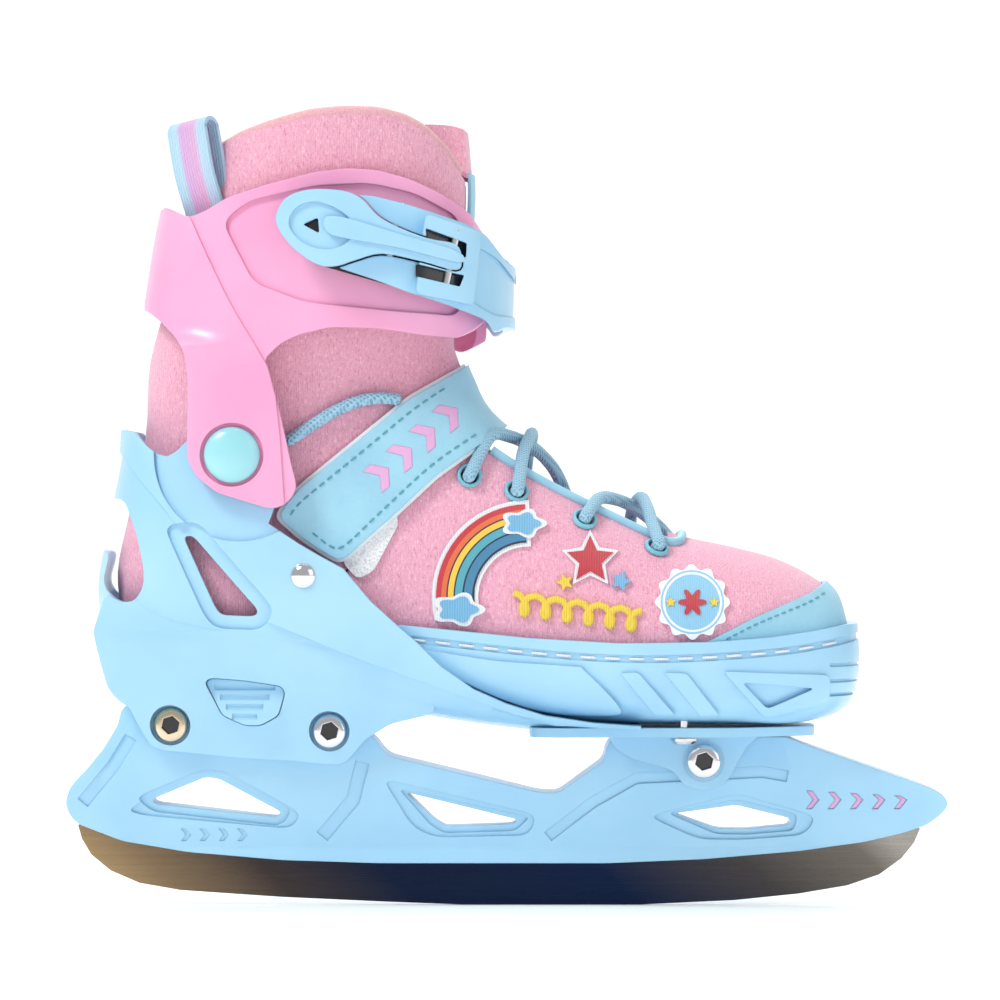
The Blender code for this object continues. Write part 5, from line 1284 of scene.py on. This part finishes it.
def make_strap():
    """The instep strap over the foot, in place of the CAD strap and its loose end, which turns."""
    stations = FINE_BOOT[6 * FINE:16 * FINE + 1]
    strap = skin("instep_strap_look", stations, 2, 3.6, rounded(STRAP, 3, 4), LEATHER, ends=(0, 8))
    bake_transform(strap)
    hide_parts("instep_strap", "instep_flap")
    backing = skin("strap_backing", stations, 1.4, 2, rounded(grown(STRAP, 1.1), 3, 4), BACKING, ends=(0, 8))
    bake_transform(backing)
    rows = [[(-65, 124.6), (-60.6, 129.6), (-41, 145.8), (-27, 157.4), (-16, 165)],
            [(-58, 119), (-52, 114.6), (-47.6, 115.4), (-36, 126.2), (-21, 140), (-6, 150.6)]]
    stitches("strap_stitch", FINE_BOOT, rows, 3.6, "flap", -1, 3, 1.9, 0.3)
    pad = skin("loop_pad_look", FINE_BOOT[6 * FINE:13 * FINE + 1], 0.2, 1.3,
               rounded([(-48.6, 109.4), (-44, 104.4), (-39, 107), (-31, 122), (-34, 133), (-46, 120)], 2),
               PILE, high=0, ends=(0, 8))
    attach(pad, "shell")
    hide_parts("loop_pad")
    for number in range(4):
        x, z = -39.5 + 7.2 * number, 134.8 + 6.3 * number
        mark = [(x + 0.753 * u - 0.658 * v, z + 0.658 * u + 0.753 * v)
                for u, v in ((0, -4.6), (3.4, -4.6), (7, 0), (3.4, 4.6), (0, 4.6), (3.2, 0))]
        print_mark = skin("strap_print_%d" % number, stations, 3.6, 3.75, mark, PRINT, high=0, ends=(0, 8))
        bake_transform(print_mark)


def make_pull_loop():
    half_gap, thickness, height = 2.6, 1.2, 33
    middle = half_gap + thickness / 2
    bend = [math.radians(a) for a in range(0, 181, 12)]
    line = [(-0.7, 0), (-1, 5), (-middle, 16)]
    line += [(-middle * math.cos(a), height - middle - 0.6 + middle * math.sin(a)) for a in bend]
    line += [(middle, 16), (1, 5), (0.7, 0)]
    loop = prism("pull_loop_look", ribbon_outline(smooth_line(line, 3), thickness / 2), -7.4, 7.4, "YZ",
                 RIBBON)
    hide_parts("pull_loop")
    finish(loop, RIBBON)
    loop.matrix_world = (Matrix.Translation((-91 * MM, -24.6 * MM,
                                             216.5 * MM)) @ Matrix.Rotation(math.radians(-34), 4, "Z")
                         @ Matrix.Rotation(math.radians(-9), 4, "Y") @ Matrix.Rotation(math.radians(4), 4,
                             "X"))
    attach(loop, "cuff")


def patch(name, outline, material, replaced=None, outer=1.4):
    made = skin(name, FINE_BOOT[2 * FINE:10 * FINE + 1], 0.1, outer, outline, material, high=0, ends=(0, 0))
    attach(made, "toe")
    if replaced:
        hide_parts(replaced)
    return made


def star(cx, cz, outer, inner, points, phase=90):
    result = []
    for k in range(2 * points):
        result += polar(cx, cz, inner if k % 2 else outer, [math.radians(phase + 180 * k / points)])
    return result


def cloud(cx, cz, size):
    lobes = polar(0, 0, lambda a: size * (1 + 0.16 * math.cos(5 * a)), turn(50))
    return [(cx + 1.25 * x, cz + 0.8 * z) for x, z in lobes]


def make_patches():
    angles = [math.radians(a) for a in range(92, 193, 5)]
    band = polar(*RAINBOW_CENTRE, 29, angles) + polar(*RAINBOW_CENTRE, 17, reversed(angles))
    patch("rainbow_border", grown(band, 1.3), WHITE_THREAD, outer=1)
    patch("patch_rainbow_look", band, RAINBOW, "patch_rainbow")
    patch("cloud_low", cloud(-12.5, 95, 6), WHITE_THREAD, outer=1.7)
    patch("cloud_low_inner", cloud(-12.5, 95, 4.6), SKY_THREAD, outer=2)
    patch("cloud_high_inner", cloud(8, 122, 3.9), SKY_THREAD, outer=2)
    patch("cloud_high", cloud(8, 122, 5.2), WHITE_THREAD, outer=1.7)
    patch("star_border", grown(star(29, 110.6, 7.6, 3.6, 5), 1.1), WHITE_THREAD, outer=1)
    patch("patch_star_look", star(29, 110.6, 7.6, 3.6, 5), RED_THREAD, "patch_star")
    patch("star_small", star(38.5, 104, 3.4, 1.6, 5, 70), SKY_THREAD)
    patch("star_smaller", star(21, 103.6, 2.8, 1.3, 5, 110), YELLOW)
    scallops = polar(*SEAL_CENTRE, lambda a: 11 + 0.8 * math.cos(12 * a), turn(96))
    patch("patch_seal_look", scallops, SEAL, "patch_seal")
    petals = polar(*SEAL_CENTRE, lambda a: 3.3 + 1.2 * math.cos(6 * a), turn(60))
    patch("seal_flower", petals, RED_THREAD, outer=1.8)
    for shift in (-6.8, 6.8):
        patch("seal_star_%d" % (shift > 0), star(SEAL_CENTRE[0] + shift, SEAL_CENTRE[1], 1.7, 0.8, 5), YELLOW,
              outer=1.8)
    laid = []
    for k in range(61):
        share = k / 60
        x = 5 + 40 * share + 2.2 * math.sin(math.tau * 6 * share)
        z = 97 - 5.5 * share + 3.2 * math.cos(math.tau * 6 * share)
        laid.append(cast(FINE_BOOT, x, z, -1, 0.7)[0])
    scribble = tube("patch_wave_look", [[p for p in laid if p]], 1.15, YELLOW, 2)
    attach(scribble, "toe")
    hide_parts("patch_wave")


# ---------------------------------------------------------------- small CAD pieces that stay

def dress_cad():
    looks = {"guide_screw": CHROME, "button_spring": CHROME, "pivot_bolt_lateral": CHROME,
             "pivot_bolt_medial": CHROME,
             "buckle_rivet": CHROME, "wrap_rivet": CHROME, "lever_pin": CHROME, "pawl_pin": CHROME,
             "buckle_pawl": CHROME,
             "size_rail": BLACK, "insole": PILE, "blade": STEEL}
    for name, look in looks.items():
        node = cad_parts[name]
        node.data.materials.clear()
        node.data.materials.append(look)


# ---------------------------------------------------------------- studio

# Each light's name, place in metres, side in metres and power in watts.
LIGHTS = [
    ("key", (-1.1, -1, 1.7), 0.6, 26),
    ("fill", (1.3, -1.1, 0.7), 1.2, 4),
    ("top", (0.1, 0.3, 1.7), 1.2, 9),
    ("back", (0, 1.6, 1.6), 1.2, 14),
]


def make_studio():
    """A white sweep, four lights, an even background and the camera."""
    floor_look = Shader("studio_floor", 0.6).colour((250, 250, 250)).set(Emission_Strength=0.2).material
    builder = bmesh.new()
    profile = [(-2.6, 0), (2.2, 0)]
    profile += [(2.2 + 0.5 * math.sin(math.radians(a)),
                 0.5 - 0.5 * math.cos(math.radians(a))) for a in range(10, 91, 10)]
    profile += [(2.7, 3)]
    rows = [[builder.verts.new((x, y, z - 0.0002)) for x in (-3.5, 3.5)] for y, z in profile]
    for low, high in zip(rows, rows[1:]):
        builder.faces.new((low[0], low[1], high[1], high[0]))
    floor = make("studio_sweep", builder, floor_look)
    for name, place, size, power in LIGHTS:
        data = bpy.data.lights.new(name, "AREA")
        data.shape = "SQUARE"
        data.size = size
        data.energy = power
        light = bpy.data.objects.new(name, data)
        light.location = place
        light.rotation_euler = (Vector((0, 0, 0.12)) - Vector(place)).to_track_quat("-Z", "Y").to_euler()
        bpy.context.scene.collection.objects.link(light)
    world = bpy.data.worlds.new("studio")
    world.use_nodes = True
    world.node_tree.nodes["Background"].inputs["Color"].default_value = (1, 1, 1, 1)
    world.node_tree.nodes["Background"].inputs["Strength"].default_value = 0.5
    bpy.context.scene.world = world
    bpy.context.scene.view_settings.view_transform = "Standard"
    data = bpy.data.cameras.new("camera")
    data.lens = 180
    data.sensor_width = 36
    data.clip_start = 0.05
    camera = bpy.data.objects.new("camera", data)
    camera.location = (0.0007, -1.6, 0.1293)
    camera.rotation_euler = (math.radians(90), 0, 0)
    bpy.context.scene.collection.objects.link(camera)
    bpy.context.scene.camera = camera


make_holder()
make_rear_shell()
make_button()
make_fasteners()
make_toe_shell()
make_cuff()
make_wrap()
make_lever()
make_buckle_base()
make_boot()
make_vamp()
make_gusset()
make_toe_cap()
make_tongues()
make_piping()
make_lacing()
make_strap()
make_pull_loop()
make_patches()
dress_cad()
make_studio()
